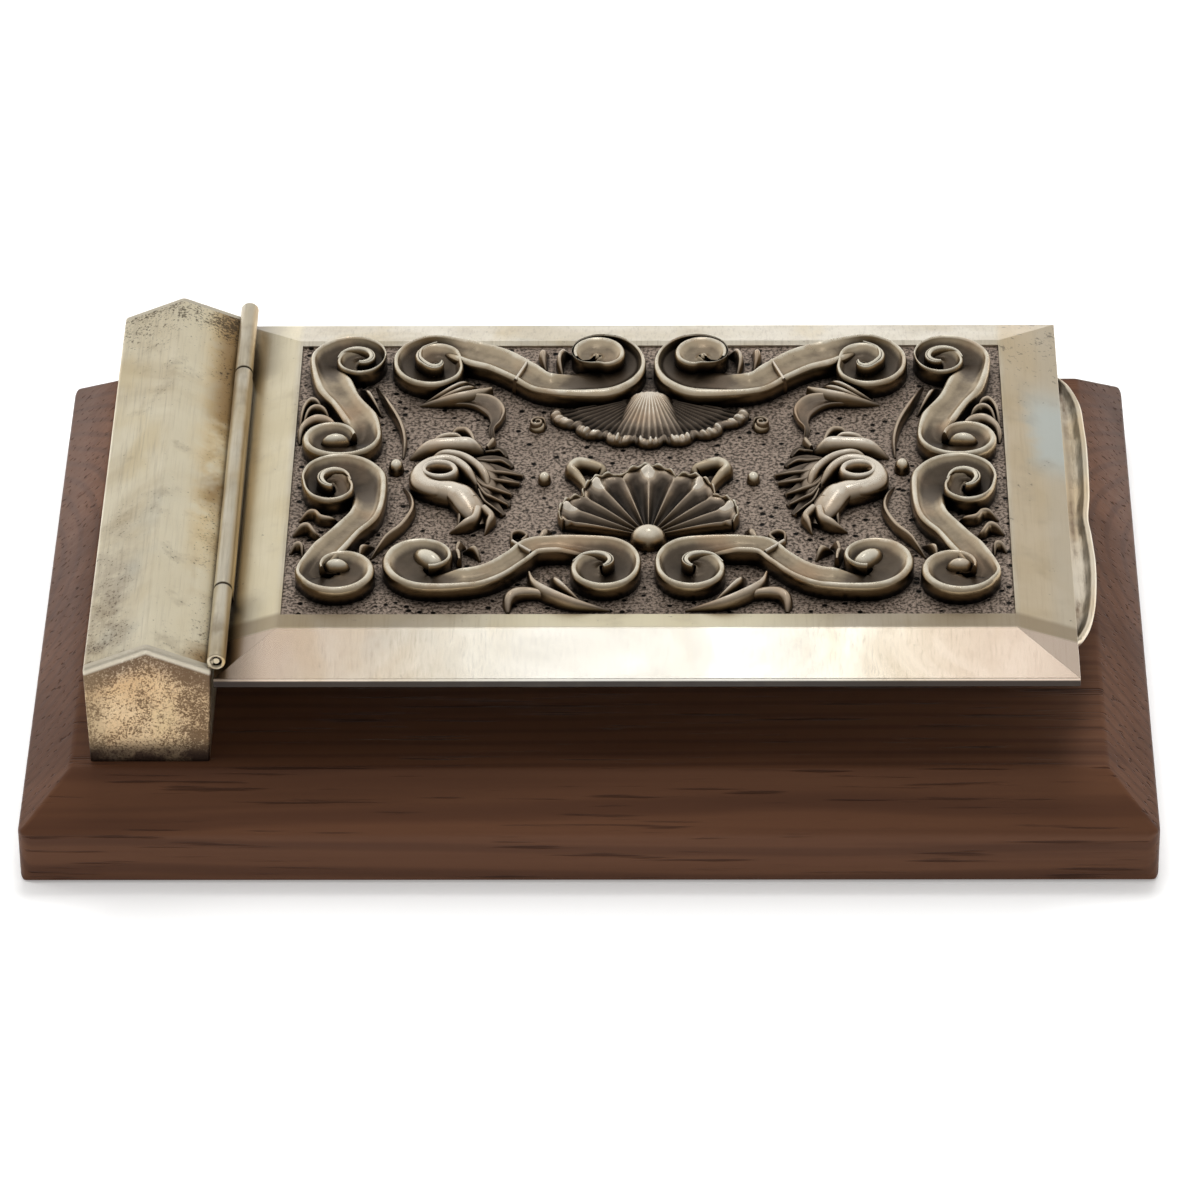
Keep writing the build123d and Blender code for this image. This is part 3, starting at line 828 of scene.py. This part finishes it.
def sweep_tree():
    making = Making("swept_band", Section="Object", Step="Float", Foot="Float")
    route = making.node("GeometryNodeMeshToCurve", sockets={0: making.value("Geometry")})
    route = making.node("GeometryNodeCurveSplineType", {"spline_type": "CATMULL_ROM"}, {0: route})
    route = making.node("GeometryNodeSetSplineResolution", sockets={0: route, "Resolution": 16})
    route = making.node("GeometryNodeResampleCurve", {"mode": "LENGTH"}, {
        0: route, "Length": making.value("Step")})
    sideways = making.node("ShaderNodeVectorMath", {"operation": "CROSS_PRODUCT"}, {
        0: making.node("GeometryNodeInputTangent"), 1: (0, 0, 1)})
    for label, value in (("spine", making.node("GeometryNodeInputPosition")), ("sideways", sideways)):
        route = making.node("GeometryNodeStoreNamedAttribute", {
            "data_type": "FLOAT_VECTOR", "domain": "POINT"}, {0: route, "Name": label, "Value": value})
    section = making.node("GeometryNodeObjectInfo", sockets={0: making.value("Section")}, output="Geometry")
    section = making.node("GeometryNodeMeshToCurve", sockets={0: section})
    band = making.node("GeometryNodeCurveToMesh", sockets={0: route, 1: section, "Fill Caps": True})

    side = making.named("side")
    toward_right = making.math("MAXIMUM", side, 0)
    toward_left = making.math("MAXIMUM", 0 - side, 0)
    rise = (toward_right * making.named("high_right") + toward_left * making.named("high_left")
            + (1 - toward_right - toward_left) * making.named("high_plain"))
    height = rise * (making.named("rim") + making.value("Foot")) - making.value("Foot")
    polish = rise * (making.named("rim") / (relief_height * mm)) ** 0.35
    aside = making.named("across") * making.named("half_width")
    reach = making.node("ShaderNodeVectorMath", {"operation": "SCALE"}, {
        0: making.named("sideways", "FLOAT_VECTOR"), "Scale": aside})
    place = making.node("ShaderNodeVectorMath", {"operation": "ADD"}, {
        0: making.named("spine", "FLOAT_VECTOR"), 1: reach})
    place = making.node("ShaderNodeVectorMath", {"operation": "ADD"}, {
        0: place, 1: making.node("ShaderNodeCombineXYZ", sockets={"Z": height})})
    band = making.node("GeometryNodeStoreNamedAttribute", {"data_type": "FLOAT", "domain": "POINT"}, {
        0: band, "Name": "polish", "Value": polish})
    making.end(making.node("GeometryNodeSetPosition", sockets={0: band, "Position": place}))
    return making


def swept(name, paths, section, material, step=0.35):
    """Makes a piece by sweeping a section along paths of (x, y, half width, side, height) stations."""
    points, edges, rows = [], [], []
    for path in paths:
        edges += [(len(points) + k, len(points) + k + 1) for k in range(len(path) - 1)]
        points += [(x * mm, y * mm, ground * mm) for x, y, half, side, height in path]
        rows += [(half * mm, side, min(height, relief_height) * mm) for x, y, half, side, height in path]
    data = bpy.data.meshes.new(name)
    data.from_pydata(points, edges, [])
    for k, label in enumerate(("half_width", "side", "rim")):
        data.attributes.new(label, "FLOAT", "POINT").data.foreach_set("value", [row[k] for row in rows])
    made = bpy.data.objects.new(name, data)
    bpy.context.collection.objects.link(made)
    sweeping.make(made, Section=section, Step=step * mm, Foot=foot_depth * mm, Material=material)
    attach(made, "cover")


sweeping = sweep_tree()
band_places = [-1, -1, -0.98, -0.93, -0.85, -0.75, -0.6, -0.3, 0, 0.3, 0.6, 0.75, 0.85, 0.93, 0.98, 1, 1]
band_section = profile_object(
    "band_section", band_places,
    lambda a: 0.40 + 0.25 * ((a + 1) / 2) ** 2 + 0.36 * bump_at(a, 0.74, 0.31),
    lambda a: 0.72 + 0.03 * a * a + 0.22 * bump_at(abs(a), 0.78, 0.25))
round_places = [-1, -1, -0.92, -0.75, -0.5, -0.2, 0.2, 0.5, 0.75, 0.92, 1, 1]
round_section = profile_object(
    "round_section", round_places,
    lambda a: 0.30 + 0.70 * math.sqrt(1 - 0.95 * (0.62 * a - 0.38) ** 2),
    lambda a: 0.25 + 0.75 * math.sqrt(1 - 0.96 * a * a))
scroll_finish = patina("scroll_silver", (0.008, 0.006, 0.005), (0.075, 0.058, 0.043), (0.165, 0.131, 0.098),
                       (0.60, 0.49, 0.345), (0.96, 0.89, 0.74), 0.94)


def rolled_bead(middle, start, hand, radii):
    """The thick lip of a volute's last turns, which lies on the edge of the band."""
    thickness = 0.75
    stations = []
    quarters = len(radii) - 1
    for step in range(3 * (quarters - 3), 3 * quarters + 1):
        turn = step / 3
        share = (turn - quarters + 3) / 3
        half = thickness * (0.10 + 0.90 * math.sin(math.pi * min(1, 0.88 * share + 0.04)))
        radius = along(radii, turn) - half
        angle = math.radians(start + hand * 90 * turn)
        stations.append((middle[0] + radius * math.cos(angle), middle[1] + radius * math.sin(angle),
                         half, 0, relief_height))
    return stations


rear_upright_eye = ((-38.4, 28.9), 180, -1, [8.1, 6.7, 4.3, 4.3, 3.7, 3.7, 2.5, 1.3])
front_upright_eye = ((-41.3, -6.9), 0, 1, [8.8, 7.8, 4.9, 5.6, 3.1, 4.0, 2.2, 1.7])
rear_long_eye = ((-25.8, 28.0), 90, 1, [8.0, 7.1, 6.9, 4.4, 5.7, 2.6, 2.1, 1.2])
front_long_eye = ((2.2, -30.0), 90, -1, [7.5, 6.0, 6.6, 4.9, 3.1, 1.5, 1.2])
rear_upright = scroll(
    volute(*rear_upright_eye),
    strap((-42.3, 22.0, 3.1), (-40.0, 16.6, 2.6), (-37.6, 11.8, 2.9)),
    volute((-41.3, 6.0), 10, -1, [7.5, 5.7, 5.5, 4.2, 3.4], 0.2))
front_upright = scroll(
    volute(*front_upright_eye),
    strap((-35.6, -14.9, 2.5), (-38.4, -20.4, 2.3), (-41.2, -25.4, 2.7)),
    volute((-39.7, -31.0), 180, 1, [6.4, 6.7, 6.0, 4.3, 2.6], 0.2))
rear_long = scroll(
    volute(*rear_long_eye),
    strap((-20.2, 31.3, 3.4), (-15.6, 28.9, 3.3), (-11.6, 25.5, 3.0), (-7.2, 21.8, 2.9)),
    volute((0.5, 29.6), 270, 1, [11.4, 7.9, 6.3, 3.9, 2.2, 4.4, 5.9, 3.6], 0.85))
front_long = scroll(
    volute((-25.3, -28.0), 270, -1, [8.6, 7.1, 4.7, 3.7, 3.0], 0.2),
    strap((-19.6, -33.8, 2.5), (-15.3, -32.1, 2.3), (-11.6, -28.3, 2.1), (-9.0, -25.1, 2.2),
          (-5.0, -24.4, 2.2)),
    volute(*front_long_eye))
lips = [rolled_bead(*eye) for eye in (rear_upright_eye, front_upright_eye, rear_long_eye, front_long_eye)]
swept("scrolls", both_ways(rear_upright, front_upright, rear_long, front_long), band_section, scroll_finish)
swept("scroll_lips", both_ways(*lips), round_section, scroll_finish, 0.2)


# ---- Knobs and pearls ---------------------------------------------------------------------------
# Rounded bosses punched up from behind the sheet: the eyes of the volutes, and the small pearls set
# on the ground between the ornaments.

def boss_tree():
    making = Making("bosses", Boss="Object")
    boss = making.node("GeometryNodeObjectInfo", sockets={0: making.value("Boss")}, output="Geometry")
    turned = making.node("ShaderNodeCombineXYZ", sockets={"Z": making.named("turn")})
    points = making.node("GeometryNodeMeshToPoints", sockets={0: making.value("Geometry"), "Radius": mm})
    making.end(making.node("GeometryNodeInstanceOnPoints", sockets={
        0: points, "Instance": boss, "Rotation": turned, "Scale": making.named("size", "FLOAT_VECTOR")}))
    return making


def turned_boss():
    """One boss a millimetre in radius and height, turned from its section."""
    section = [(1.0, -0.4), (1.0, 0.06), (0.97, 0.30), (0.88, 0.54), (0.72, 0.75), (0.48, 0.91), (0.22, 0.99)]
    turns = [2 * math.pi * k / 24 for k in range(24)]
    shape = bmesh.new()
    polish = shape.verts.layers.float.new("polish")
    rings = []
    for radius, z in section:
        rings.append([shape.verts.new((radius * mm * math.cos(turn), radius * mm * math.sin(turn), z * mm))
                      for turn in turns])
        for vertex in rings[-1]:
            vertex[polish] = max(0.0, z) ** 0.4
    for below, above in zip(rings, rings[1:]):
        bridge(shape, below, above)
    shape.faces.new(rings[0])
    shape.faces.new(rings[-1])
    data = bpy.data.meshes.new("boss")
    shape.to_mesh(data)
    shape.free()
    return bpy.data.objects.new("boss", data)


def bosses(name, rows, material):
    """Makes a piece of bosses from (x, y, length, width, height, degrees turned) rows."""
    rows = rows + [(2 * plaque_middle - x, y, *size, -turned) for x, y, *size, turned in rows]
    data = bpy.data.meshes.new(name)
    data.from_pydata([(row[0] * mm, row[1] * mm, ground * mm) for row in rows], [], [])
    sizes = [size for x, y, long, wide, high, turned in rows for size in (long / 2, wide / 2, high)]
    data.attributes.new("size", "FLOAT_VECTOR", "POINT").data.foreach_set("vector", sizes)
    turns = [math.radians(row[-1]) for row in rows]
    data.attributes.new("turn", "FLOAT", "POINT").data.foreach_set("value", turns)
    made = bpy.data.objects.new(name, data)
    bpy.context.collection.objects.link(made)
    boss_tree().make(made, Boss=turned_boss(), Material=material)
    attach(made, "cover")


volute_knobs = [
    (-41.4, 6.0, 5.2, 2.3, 3.2, 5), (-39.8, -29.6, 4.8, 2.4, 3.2, 0), (-25.2, -27.6, 7.2, 3.6, 3.2, -45)]
pearls = [(-31.4, -0.2, 2.6, 2.8, 2.3, 0), (-7.5, -3.2, 2.2, 2.6, 1.8, 0), (-8.9, 12.3, 2.8, 3.0, 1.3, 0)]
bosses("knobs_and_pearls", volute_knobs + pearls, scroll_finish)


# ---- Sprays and tendrils ------------------------------------------------------------------------
# Lower ornament between the scrolls: raised tendrils that follow their curves, waves at the outer
# edge, and sprays of acanthus. Each is a blade with a rounded back that tapers to its tips.

def blade(route, widths, heights, side=0.0):
    """Stations along a route of (x, y) points, with the half width and height from lists and low tips."""
    last, thin_tip, tip_height = len(route) - 1, 0.35, 0.3
    stations = []
    for k, (x, y) in enumerate(route):
        half, height = (along(values, k / last * (len(values) - 1)) for values in (widths, heights))
        low_tip = k in (0, last) and half < thin_tip
        stations.append((x, y, half, side, tip_height if low_tip else height))
    return stations


thin, full = (0.25, 0.5, 0.5, 0.2), (0.3, 0.9, 0.8, 0.2)
tendrils = [
    blade([(-35.4, 24.2), (-33.4, 18), (-31.2, 12.2), (-30.3, 7.5), (-30.4, 3.4)],
          thin, (1.8, 2.1, 1.8, 0.9)),
    blade([(-38.0, 23.4), (-36.4, 19.4), (-34.2, 15.6)], thin, (2.4, 2.6, 2.0)),
    blade([(-30.0, -5.0), (-28.7, -9), (-28.4, -13), (-30, -17.6), (-32.4, -21.4), (-34.6, -25.0)], thin,
          (0.9, 1.9, 2.1, 2.2)),
    blade([(-34.2, -21.8), (-36.0, -24.4), (-36.4, -26.6)], thin, (2.2, 2.4, 2.0))]
folds = [
    blade([(-10.7, 28.4), (-11.7, 25.4), (-12.7, 22.4)], (0.5, 0.45, 0.5), (3.1, 3.15, 3.25)),
    blade([(-12.2, -24.0), (-10.8, -25.4), (-9.2, -26.9)], (0.5, 0.45, 0.5), (3.2, 3.15, 3.1))]
waves = [
    blade([(-46.4, -14.6), (-45, -13.8), (-43.8, -14.0), (-42.8, -15.4), (-41, -15.6), (-40, -15)],
          thin, (1.5, 2.2, 1.4)),
    blade([(-47.2, -18.6), (-46, -18.0), (-44.8, -17.8), (-43.8, -19.2), (-42.6, -19.6)],
          thin, (1.5, 2.2, 1.4)),
    blade([(-47.4, -23.6), (-46.6, -22.6), (-45.6, -22.8), (-45.4, -24.4)], thin, (1.2, 1.8, 1.4)),
    blade([(-47.5, 12.4), (-47.0, 16.0), (-45.9, 18.2), (-44.6, 17.6), (-43.9, 16)], thin, (1.6, 2.3, 1.6)),
    blade([(-47.0, 12.8), (-46.2, 15.2), (-44.8, 16.2), (-43.4, 15.2), (-42.5, 13.4)],
          thin, (1.6, 2.3, 1.6)),
    blade([(-47.3, 7.6), (-47.0, 10.4), (-45.2, 12.8), (-43.2, 12.6), (-41.8, 11), (-41.2, 9.6)],
          full, (1.8, 2.4, 1.8))]
sprays = [
    blade([(-27.4, 19.7), (-24.0, 20.2), (-21.2, 22.2), (-19.4, 24.6)],
          (0.2, 0.45, 0.4, 0.2), (1.8, 2.6, 2.8, 2.2)),
    blade([(-26.8, 19.3), (-23.2, 19.6), (-20.2, 21.2), (-18.2, 23.4)],
          (0.2, 0.5, 0.45, 0.2), (1.8, 2.5, 2.6, 2.0)),
    blade([(-28.2, 19.0), (-23.0, 18.9), (-19.0, 20.2), (-16.6, 22.2)],
          (0.3, 0.75, 0.9, 0.5), (1.8, 2.4, 2.5, 1.7)),
    blade([(-8.9 + (1.35 - 0.0021 * turn) * math.cos(math.radians(turn)),
            12.3 + (1.5 - 0.0024 * turn) * math.sin(math.radians(turn))) for turn in range(0, 541, 30)],
          (0.25, 0.34, 0.34, 0.25), (1.5, 1.7, 1.7)),
    blade([(-9.4, -31.4), (-8.6, -34), (-6.2, -36.6), (-2.4, -38.8), (3.4, -39.4)],
          (0.4, 0.9, 0.9, 0.2), (2.2, 2.6, 1.8)),
    blade([(-6.0, -30.6), (-5.2, -33.6), (-3.2, -36.4), (-0.6, -38.0)],
          (0.3, 0.7, 0.5, 0.2), (2.2, 2.6, 1.8)),
    blade([(-12.6, -39.9), (-12.6, -37.8), (-11.6, -36.2), (-9.6, -35.6), (-7.2, -36.2), (-5.0, -37.6)],
          (0.3, 1.0, 1.1, 0.7, 0.3), (1.7, 2.3, 2.0, 1.5), 0.5),
    blade([(-22.2, -23.4), (-20.9, -25.2), (-20.5, -27.4)], (0.2, 0.6, 0.4), (1.6, 2.3, 2.0)),
    blade([(-20.0, -23.4), (-18.2, -24.2), (-17.2, -25.8)], (0.2, 0.6, 0.2), (1.6, 2.1, 1.6)),
    blade([(-19.6, -22.0), (-20.6, -22.6), (-21.0, -24.4)], (0.2, 0.5, 0.4), (1.4, 1.9, 1.8)),
    blade([(-7.8, -21.2), (-7.1, -19.4), (-6.2, -17.6)], (0.5, 0.8, 0.2), (1.8, 2.0, 1.2)),
    blade([(-12.2, -21.4), (-12.4, -19.6), (-11.2, -18.8), (-10.0, -19.8), (-10.8, -21.2)],
          (0.3, 0.4, 0.4), (1.3, 1.5, 1.3)),
    blade([(-7.8, 29.4), (-8.4, 32.2), (-7.6, 34.2)], (0.3, 0.7, 0.3), (1.6, 2.3, 1.6)),
    blade([(-5.0, 27.6), (-5.6, 30.0), (-5.0, 32.4), (-3.6, 33.6)], (0.3, 0.6, 0.5, 0.3), (1.8, 2.6, 1.8))]
spray_finish = patina("spray_silver", (0.010, 0.008, 0.006), (0.090, 0.070, 0.054), (0.30, 0.24, 0.185),
                      (0.66, 0.54, 0.41), (0.97, 0.88, 0.75), 0.78)
swept("sprays_and_tendrils", both_ways(*tendrils, *folds, *waves, *sprays), round_section, spray_finish, 0.25)


# ---- Cartouches ---------------------------------------------------------------------------------
# At each side of the plaque a rocaille cartouche: a thick curl of leaf rolled round a deep hole,
# with a crest above it, a hanging double tip below, and ragged leaf behind it.

curl = blade([(-17.2, -16.2), (-18.7, -12.8), (-20.5, -9.6), (-22.4, -7.9), (-25.0, -7.6), (-27.0, -5.8),
              (-27.2, -3.0), (-25.6, -0.9), (-23.2, -0.2), (-21.2, -1.2), (-19.4, -3.4), (-17.8, -5.6)],
             (1.0, 2.5, 2.3, 2.0, 2.1, 1.5, 1.1, 1.1, 0.9, 0.3),
             (0.9, 3.0, 3.2, 3.2, 3.3, 3.3, 2.9, 1.9), -0.4)
eye_ring = blade([(-24.3 + 2.5 * math.cos(math.radians(turn)), -3.5 + 2.1 * math.sin(math.radians(turn)))
                  for turn in range(0, 391, 30)],
                 (0.85, 0.7, 0.85), (3.1, 3.3, 3.1))
cheek = blade([(-27.2, -4.4), (-25.8, -7.2), (-23.0, -8.4), (-20.6, -8.8), (-18.8, -10.8)],
              (0.6, 1.6, 2.1, 2.2, 1.4), (2.6, 3.2, 3.3, 3.0, 2.6))
brow = blade([(-27.0, 0.4), (-24.4, 1.9), (-21.4, 1.6), (-18.8, -0.6), (-17.0, -3.6), (-16.4, -6.2)],
             (0.3, 0.8, 1.0, 1.0, 0.9, 0.3), (2.0, 2.7, 2.8, 2.6, 1.8))
crest = [
    blade([(-29.4, 3.3), (-26.4, 4.3), (-22.4, 4.8), (-19.2, 4.8), (-16.9, 4.6)], (0.3, 1.3, 1.5, 1.4, 0.3),
          (1.6, 2.9, 3.2, 3.0, 1.8)),
    blade([(-27.4, 5.6), (-24.6, 6.9), (-22.2, 7.3), (-21.0, 6.4)], (0.3, 0.7, 0.7, 0.4), (1.8, 2.6, 2.4)),
    blade([(-22.7, 8.6), (-22.2, 10.0), (-20.6, 10.2), (-19.6, 8.6), (-19.0, 6.2)],
          (0.3, 0.5, 0.6, 0.4), (1.3, 1.8, 2.0)),
    blade([(-16.9, 4.8), (-16.0, 7.0), (-16.2, 9.4)], (0.4, 0.6, 0.3), (1.8, 1.8, 1.3))]
tips = [
    blade([(-17.9, -13.8), (-18.4, -16.0), (-20.0, -17.4), (-22.4, -17.9)],
          (1.0, 0.9, 0.7, 0.15), (2.8, 2.6, 2.4, 1.6)),
    blade([(-17.0, -13.4), (-15.8, -15.2), (-16.2, -16.8), (-16.8, -18.4)],
          (1.0, 0.9, 0.6, 0.15), (2.6, 2.4, 1.9, 1.2)),
    blade([(-21.4, -10.6), (-20.8, -13.4), (-21.0, -16.0)], (0.3, 0.5, 0.2), (1.2, 1.2, 0.9))]
leafage = [
    blade([(-24.0, 18.6), (-20.4, 18.9), (-17.4, 18.0), (-15.7, 15.8), (-15.6, 13.2), (-16.3, 10.8),
           (-15.9, 8.6)],
          (0.4, 0.9, 1.7, 1.6, 1.0, 0.5, 0.3), (1.8, 2.2, 2.2, 1.8, 1.5, 1.2), -0.6),
    blade([(-19.4, 0.2), (-16.6, -0.2), (-13.6, -1.4), (-10.9, -2.2)],
          (1.0, 1.9, 0.9, 1.0, 0.5), (1.6, 1.4, 1.5, 1.1), 0.6),
    blade([(-18.8, -1.4), (-16.2, -2.4), (-13.6, -3.8), (-11.4, -4.4)],
          (1.0, 1.6, 0.9, 1.0, 0.5), (1.5, 1.3, 1.5, 1.1), 0.6),
    blade([(-18.4, -2.6), (-16.4, -4.4), (-14.6, -6.4), (-12.6, -7.6)],
          (1.0, 1.9, 1.0, 1.1, 0.5), (1.7, 1.4, 1.6, 1.1), 0.6),
    blade([(-17.6, -5.0), (-16.0, -7.2), (-14.6, -9.2), (-13.0, -10.6)],
          (0.9, 1.6, 0.9, 0.9, 0.5), (1.6, 1.3, 1.5, 1.1), 0.6),
    blade([(-17.4, -7.0), (-16.2, -9.4), (-15.0, -11.6), (-13.9, -13.2)],
          (0.8, 1.4, 0.8, 0.9, 0.5), (1.7, 1.4, 1.5, 1.1), 0.6),
    blade([(-18.4, 2.2), (-16.2, 2.7), (-14.2, 2.0), (-12.8, 0.6)],
          (0.8, 1.3, 0.8, 0.9, 0.5), (1.4, 1.2, 1.4, 1.0), 0.6),
    blade([(-17.4, 4.4), (-16.0, 5.4), (-14.6, 5.0), (-13.8, 3.6)],
          (0.5, 1.0, 0.7, 0.7, 0.4), (1.3, 1.1, 1.3, 1.0), 0.6)]
leaf_back = blade([(-22.0, 2.2), (-18.0, -0.4), (-16.8, -4.6), (-16.4, -9.6)],
                  (1.2, 2.6, 2.2, 0.3), (1.0, 1.3, 1.2, 1.0))
cartouche = [curl, eye_ring, cheek, brow, leaf_back, *crest, *tips]
swept("cartouches", both_ways(*cartouche), round_section, spray_finish, 0.25)
swept("cartouche_leafage", both_ways(*leafage), band_section, spray_finish, 0.25)


# ---- Shells -------------------------------------------------------------------------------------
# Two scallop shells on the middle line. The rear one is domed, with fine ribs and a small rolled rim.
# The front one opens upwards from a boss in five deep flutes with crimped, turned-over edges.

def fan(name, apex, facing, spread, reach, surface, columns, rows, material):
    """A fan of ribs. Reach gives its radius at a bearing, and surface its height and polish."""
    hub = 0.04
    shape = bmesh.new()
    polish = shape.verts.layers.float.new("polish")
    lines = []
    for column in range(columns + 1):
        bearing = spread * (2 * column / columns - 1)
        angle = math.radians(facing + bearing)
        line = []
        for row in range(rows + 1):
            share = row / rows
            height, shine = surface(bearing, share)
            radius = reach(bearing) * (hub + (1 - hub) * share)
            vertex = shape.verts.new(((apex[0] + radius * math.cos(angle)) * mm,
                                      (apex[1] + radius * math.sin(angle)) * mm, (ground + height) * mm))
            vertex[polish] = shine
            line.append(vertex)
        lines.append(line)
    for here, there in zip(lines, lines[1:]):
        for row in range(rows):
            shape.faces.new((here[row], there[row], there[row + 1], here[row + 1]))
    border = [edge for edge in shape.edges if edge.is_boundary]
    grown = bmesh.ops.extrude_edge_only(shape, edges=border)["geom"]
    for vertex in grown:
        if isinstance(vertex, bmesh.types.BMVert):
            vertex.co.z = (ground - foot_depth) * mm
            vertex[polish] = 0
    bmesh.ops.holes_fill(shape, edges=shape.edges)
    made = mesh_object(name, shape, material)
    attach(made, "cover")


def notch(bearing, pitch, sharpness):
    """1 in the middle of each lobe and 0 at the notches between lobes."""
    return abs(math.cos(math.pi * bearing / pitch)) ** sharpness


rear_spread, rear_radius, rear_lobe = 72, 15.2, 20.6
front_spread, front_lobe = 78, 31
rear_apex, front_apex = (plaque_middle, 21.2), (plaque_middle, -20.2)


def rear_reach(bearing):
    return rear_radius + 3.0 * (bearing / rear_spread) ** 2 - 1.4 * (1 - notch(bearing, rear_lobe, 0.7))


def rear_surface(bearing, share):
    aside = rear_radius * share * abs(math.sin(math.radians(bearing)))
    down = rear_radius * share * math.cos(math.radians(bearing))
    crown = 1 - bump_at(down, -0.4, 2.2)
    swell = max(0.0, 1 - (aside / (2.3 + 0.30 * down)) ** 2) ** 0.6
    dome = 2.5 * swell * max(0.0, 1 - down / 13.5) ** 0.6 * crown
    ribs = math.cos(2 * math.pi * bearing / 5.2) * min(1, share / 0.35)
    roll = bump_at(share, 0.94, 0.075)
    gutter = bump_at(share, 0.80, 0.10)
    crimp = 0.5 + 0.5 * math.sin(bearing * 1.3) * math.cos(bearing * 0.47)
    rim_height = (0.5 + 0.9 * notch(bearing, rear_lobe, 0.6) * crimp) * roll
    rim_shine = (0.40 + 0.55 * crimp) * roll * notch(bearing, rear_lobe, 0.5)
    height = 0.7 + dome + 0.16 * ribs * share ** 0.5 + rim_height - 0.2 * gutter
    shine = 0.30 + 0.32 * dome + 0.14 * ribs + rim_shine - 0.14 * gutter
    return height, shine


def front_reach(bearing):
    return 15.4 + 2.8 * math.cos(math.radians(bearing)) ** 4 - 2.4 * (1 - notch(bearing, front_lobe, 0.38))


def front_surface(bearing, share):
    flute = 1 - 2 * abs(math.sin(2 * math.pi * bearing / front_lobe)) ** 1.1
    lobe = notch(bearing, front_lobe, 0.8)
    roll = bump_at(share, 0.955, 0.065)
    crimp = 0.6 + 0.4 * math.sin(bearing * 0.61 + 0.8)
    pillow = notch(bearing, front_lobe, 5) * bump_at(share, 0.90, 0.11)
    depth = share ** 0.5 * (1 - 0.8 * share ** 6)
    height = 1.0 + 0.7 * share + 0.85 * flute * depth + (0.3 + 0.6 * lobe * crimp) * roll + 0.5 * pillow
    shine = 0.44 + 0.44 * flute * depth + 0.45 * roll * crimp + 0.6 * pillow
    return height, shine


fan("rear_shell", rear_apex, -90, rear_spread, rear_reach, rear_surface, 240, 44, spray_finish)
fan("front_shell", front_apex, 90, front_spread, front_reach, front_surface, 220, 40, spray_finish)
shell_side = blade(
    [(-0.9, -9.6), (-0.9, -6.4), (-2.2, -3.4), (-3.2, -1.8), (-2.0, -0.2), (0.2, -0.4), (1.9, -1.6),
     (0.9, -3.0)],
    (0.4, 0.8, 1.1, 1.2, 1.0, 0.3), (1.6, 2.2, 2.8, 2.2, 1.6))
shell_lip = [(front_apex[0] - front_reach(bearing) * math.sin(math.radians(bearing)),
              front_apex[1] + front_reach(bearing) * math.cos(math.radians(bearing)),
              0.28 + 0.16 * notch(bearing, front_lobe, 4), 0,
              2.3 + 0.3 * math.sin(bearing * 0.9) + 0.5 * notch(bearing, front_lobe, 0.8))
             for bearing in range(-front_spread, front_spread + 1, 2)]
swept("shell_curls", both_ways(shell_side) + [shell_lip], round_section, scroll_finish, 0.2)
bosses("shell_boss", [(plaque_middle, -20.6, 6.0, 5.0, 3.2, 0)], scroll_finish)


# ---- Thumb lip ----------------------------------------------------------------------------------
# A cast silver lip soldered under the cover's right edge to lift it by. Its outline swells in two
# lobes with a shallow notch between, and its top is dished, with a rounded rim.

lip_low, lip_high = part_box("thumb_lip")


def lip_silver():
    silver, base = tarnished("lip_silver", (0.98, 0.88, 0.72), (0.90, 0.72, 0.48))
    rough = silver.cloud(420, 4, 0.65, (2.0, 0.7, 1))
    dish = silver.fade(silver.axis("Z"), 29.7, 28.9)
    # Painted shade: the dish turns dark brown towards its root under the cover's edge, in patches.
    root = silver.fade(silver.axis("X"), 77.9, 76.9)
    patchiness = silver.fade(silver.clouds + 0.3 * rough, 0.50, 0.70)
    colour = silver.coats(
        base,
        (dish * silver.fade(rough, 0.45, 0.65) * 0.35, (0.32, 0.22, 0.13)),
        (root * dish * patchiness * 0.85, (0.13, 0.06, 0.035)))
    silver.surface(Base_Color=colour, Roughness=0.28 + 0.2 * rough)
    silver.bump(rough, 0.00012, 0.8)
    return silver.material


def make_lip():
    edge_line = [(76.4, -40.6), (77.3, -39.8), (78.7, -36.3), (79.6, -31.6), (80.1, -25.7), (80.3, -18.5),
                 (80.0, -11.0), (79.7, -6.0), (80.2, 1.2), (80.4, 13.3), (80.2, 20.0), (79.8, 26.8),
                 (78.4, 31.8), (76.9, 34.3)]
    steps, edge_gap, end_gap = 8, 0.02, 0.05
    root, top, under = lip_low.x / mm + 0.1, lip_high.z / mm - 0.15, lip_low.z / mm + 0.1
    shape = bmesh.new()
    loops = []
    for step in range(steps * (len(edge_line) - 1) + 1):
        x, y = (along(values, step / steps) for values in zip(*edge_line))
        x = min(x, lip_high.x / mm - edge_gap)
        y = min(max(y, lip_low.y / mm + end_gap), lip_high.y / mm - end_gap)
        width = x - root
        dish = top + 0.12 * math.sin(0.9 * y) + 0.08 * math.sin(2.3 * y + 1)
        section = [(0, top - 0.3), (width - 4.4, top - 0.4), (width - 3.4, top - 0.9),
                   (width - 2.5, dish - 1.25), (width - 1.6, dish - 1.05), (width - 1.0, top - 0.45),
                   (width - 0.6, top - 0.1), (width - 0.25, top - 0.25), (width, top - 0.75),
                   (width - 0.1, top - 1.4), (width - 0.6, under + 0.15), (width - 1.4, under), (0, under)]
        loops.append([shape.verts.new(((root + max(0, across)) * mm, y * mm, z * mm))
                      for across, z in section])
    for here, there in zip(loops, loops[1:]):
        bridge(shape, here, there)
    shape.faces.new(loops[0])
    shape.faces.new(loops[-1])
    lip = mesh_object("lip", shape, lip_silver())
    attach(lip, "cover")
    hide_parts("thumb_lip")


make_lip()
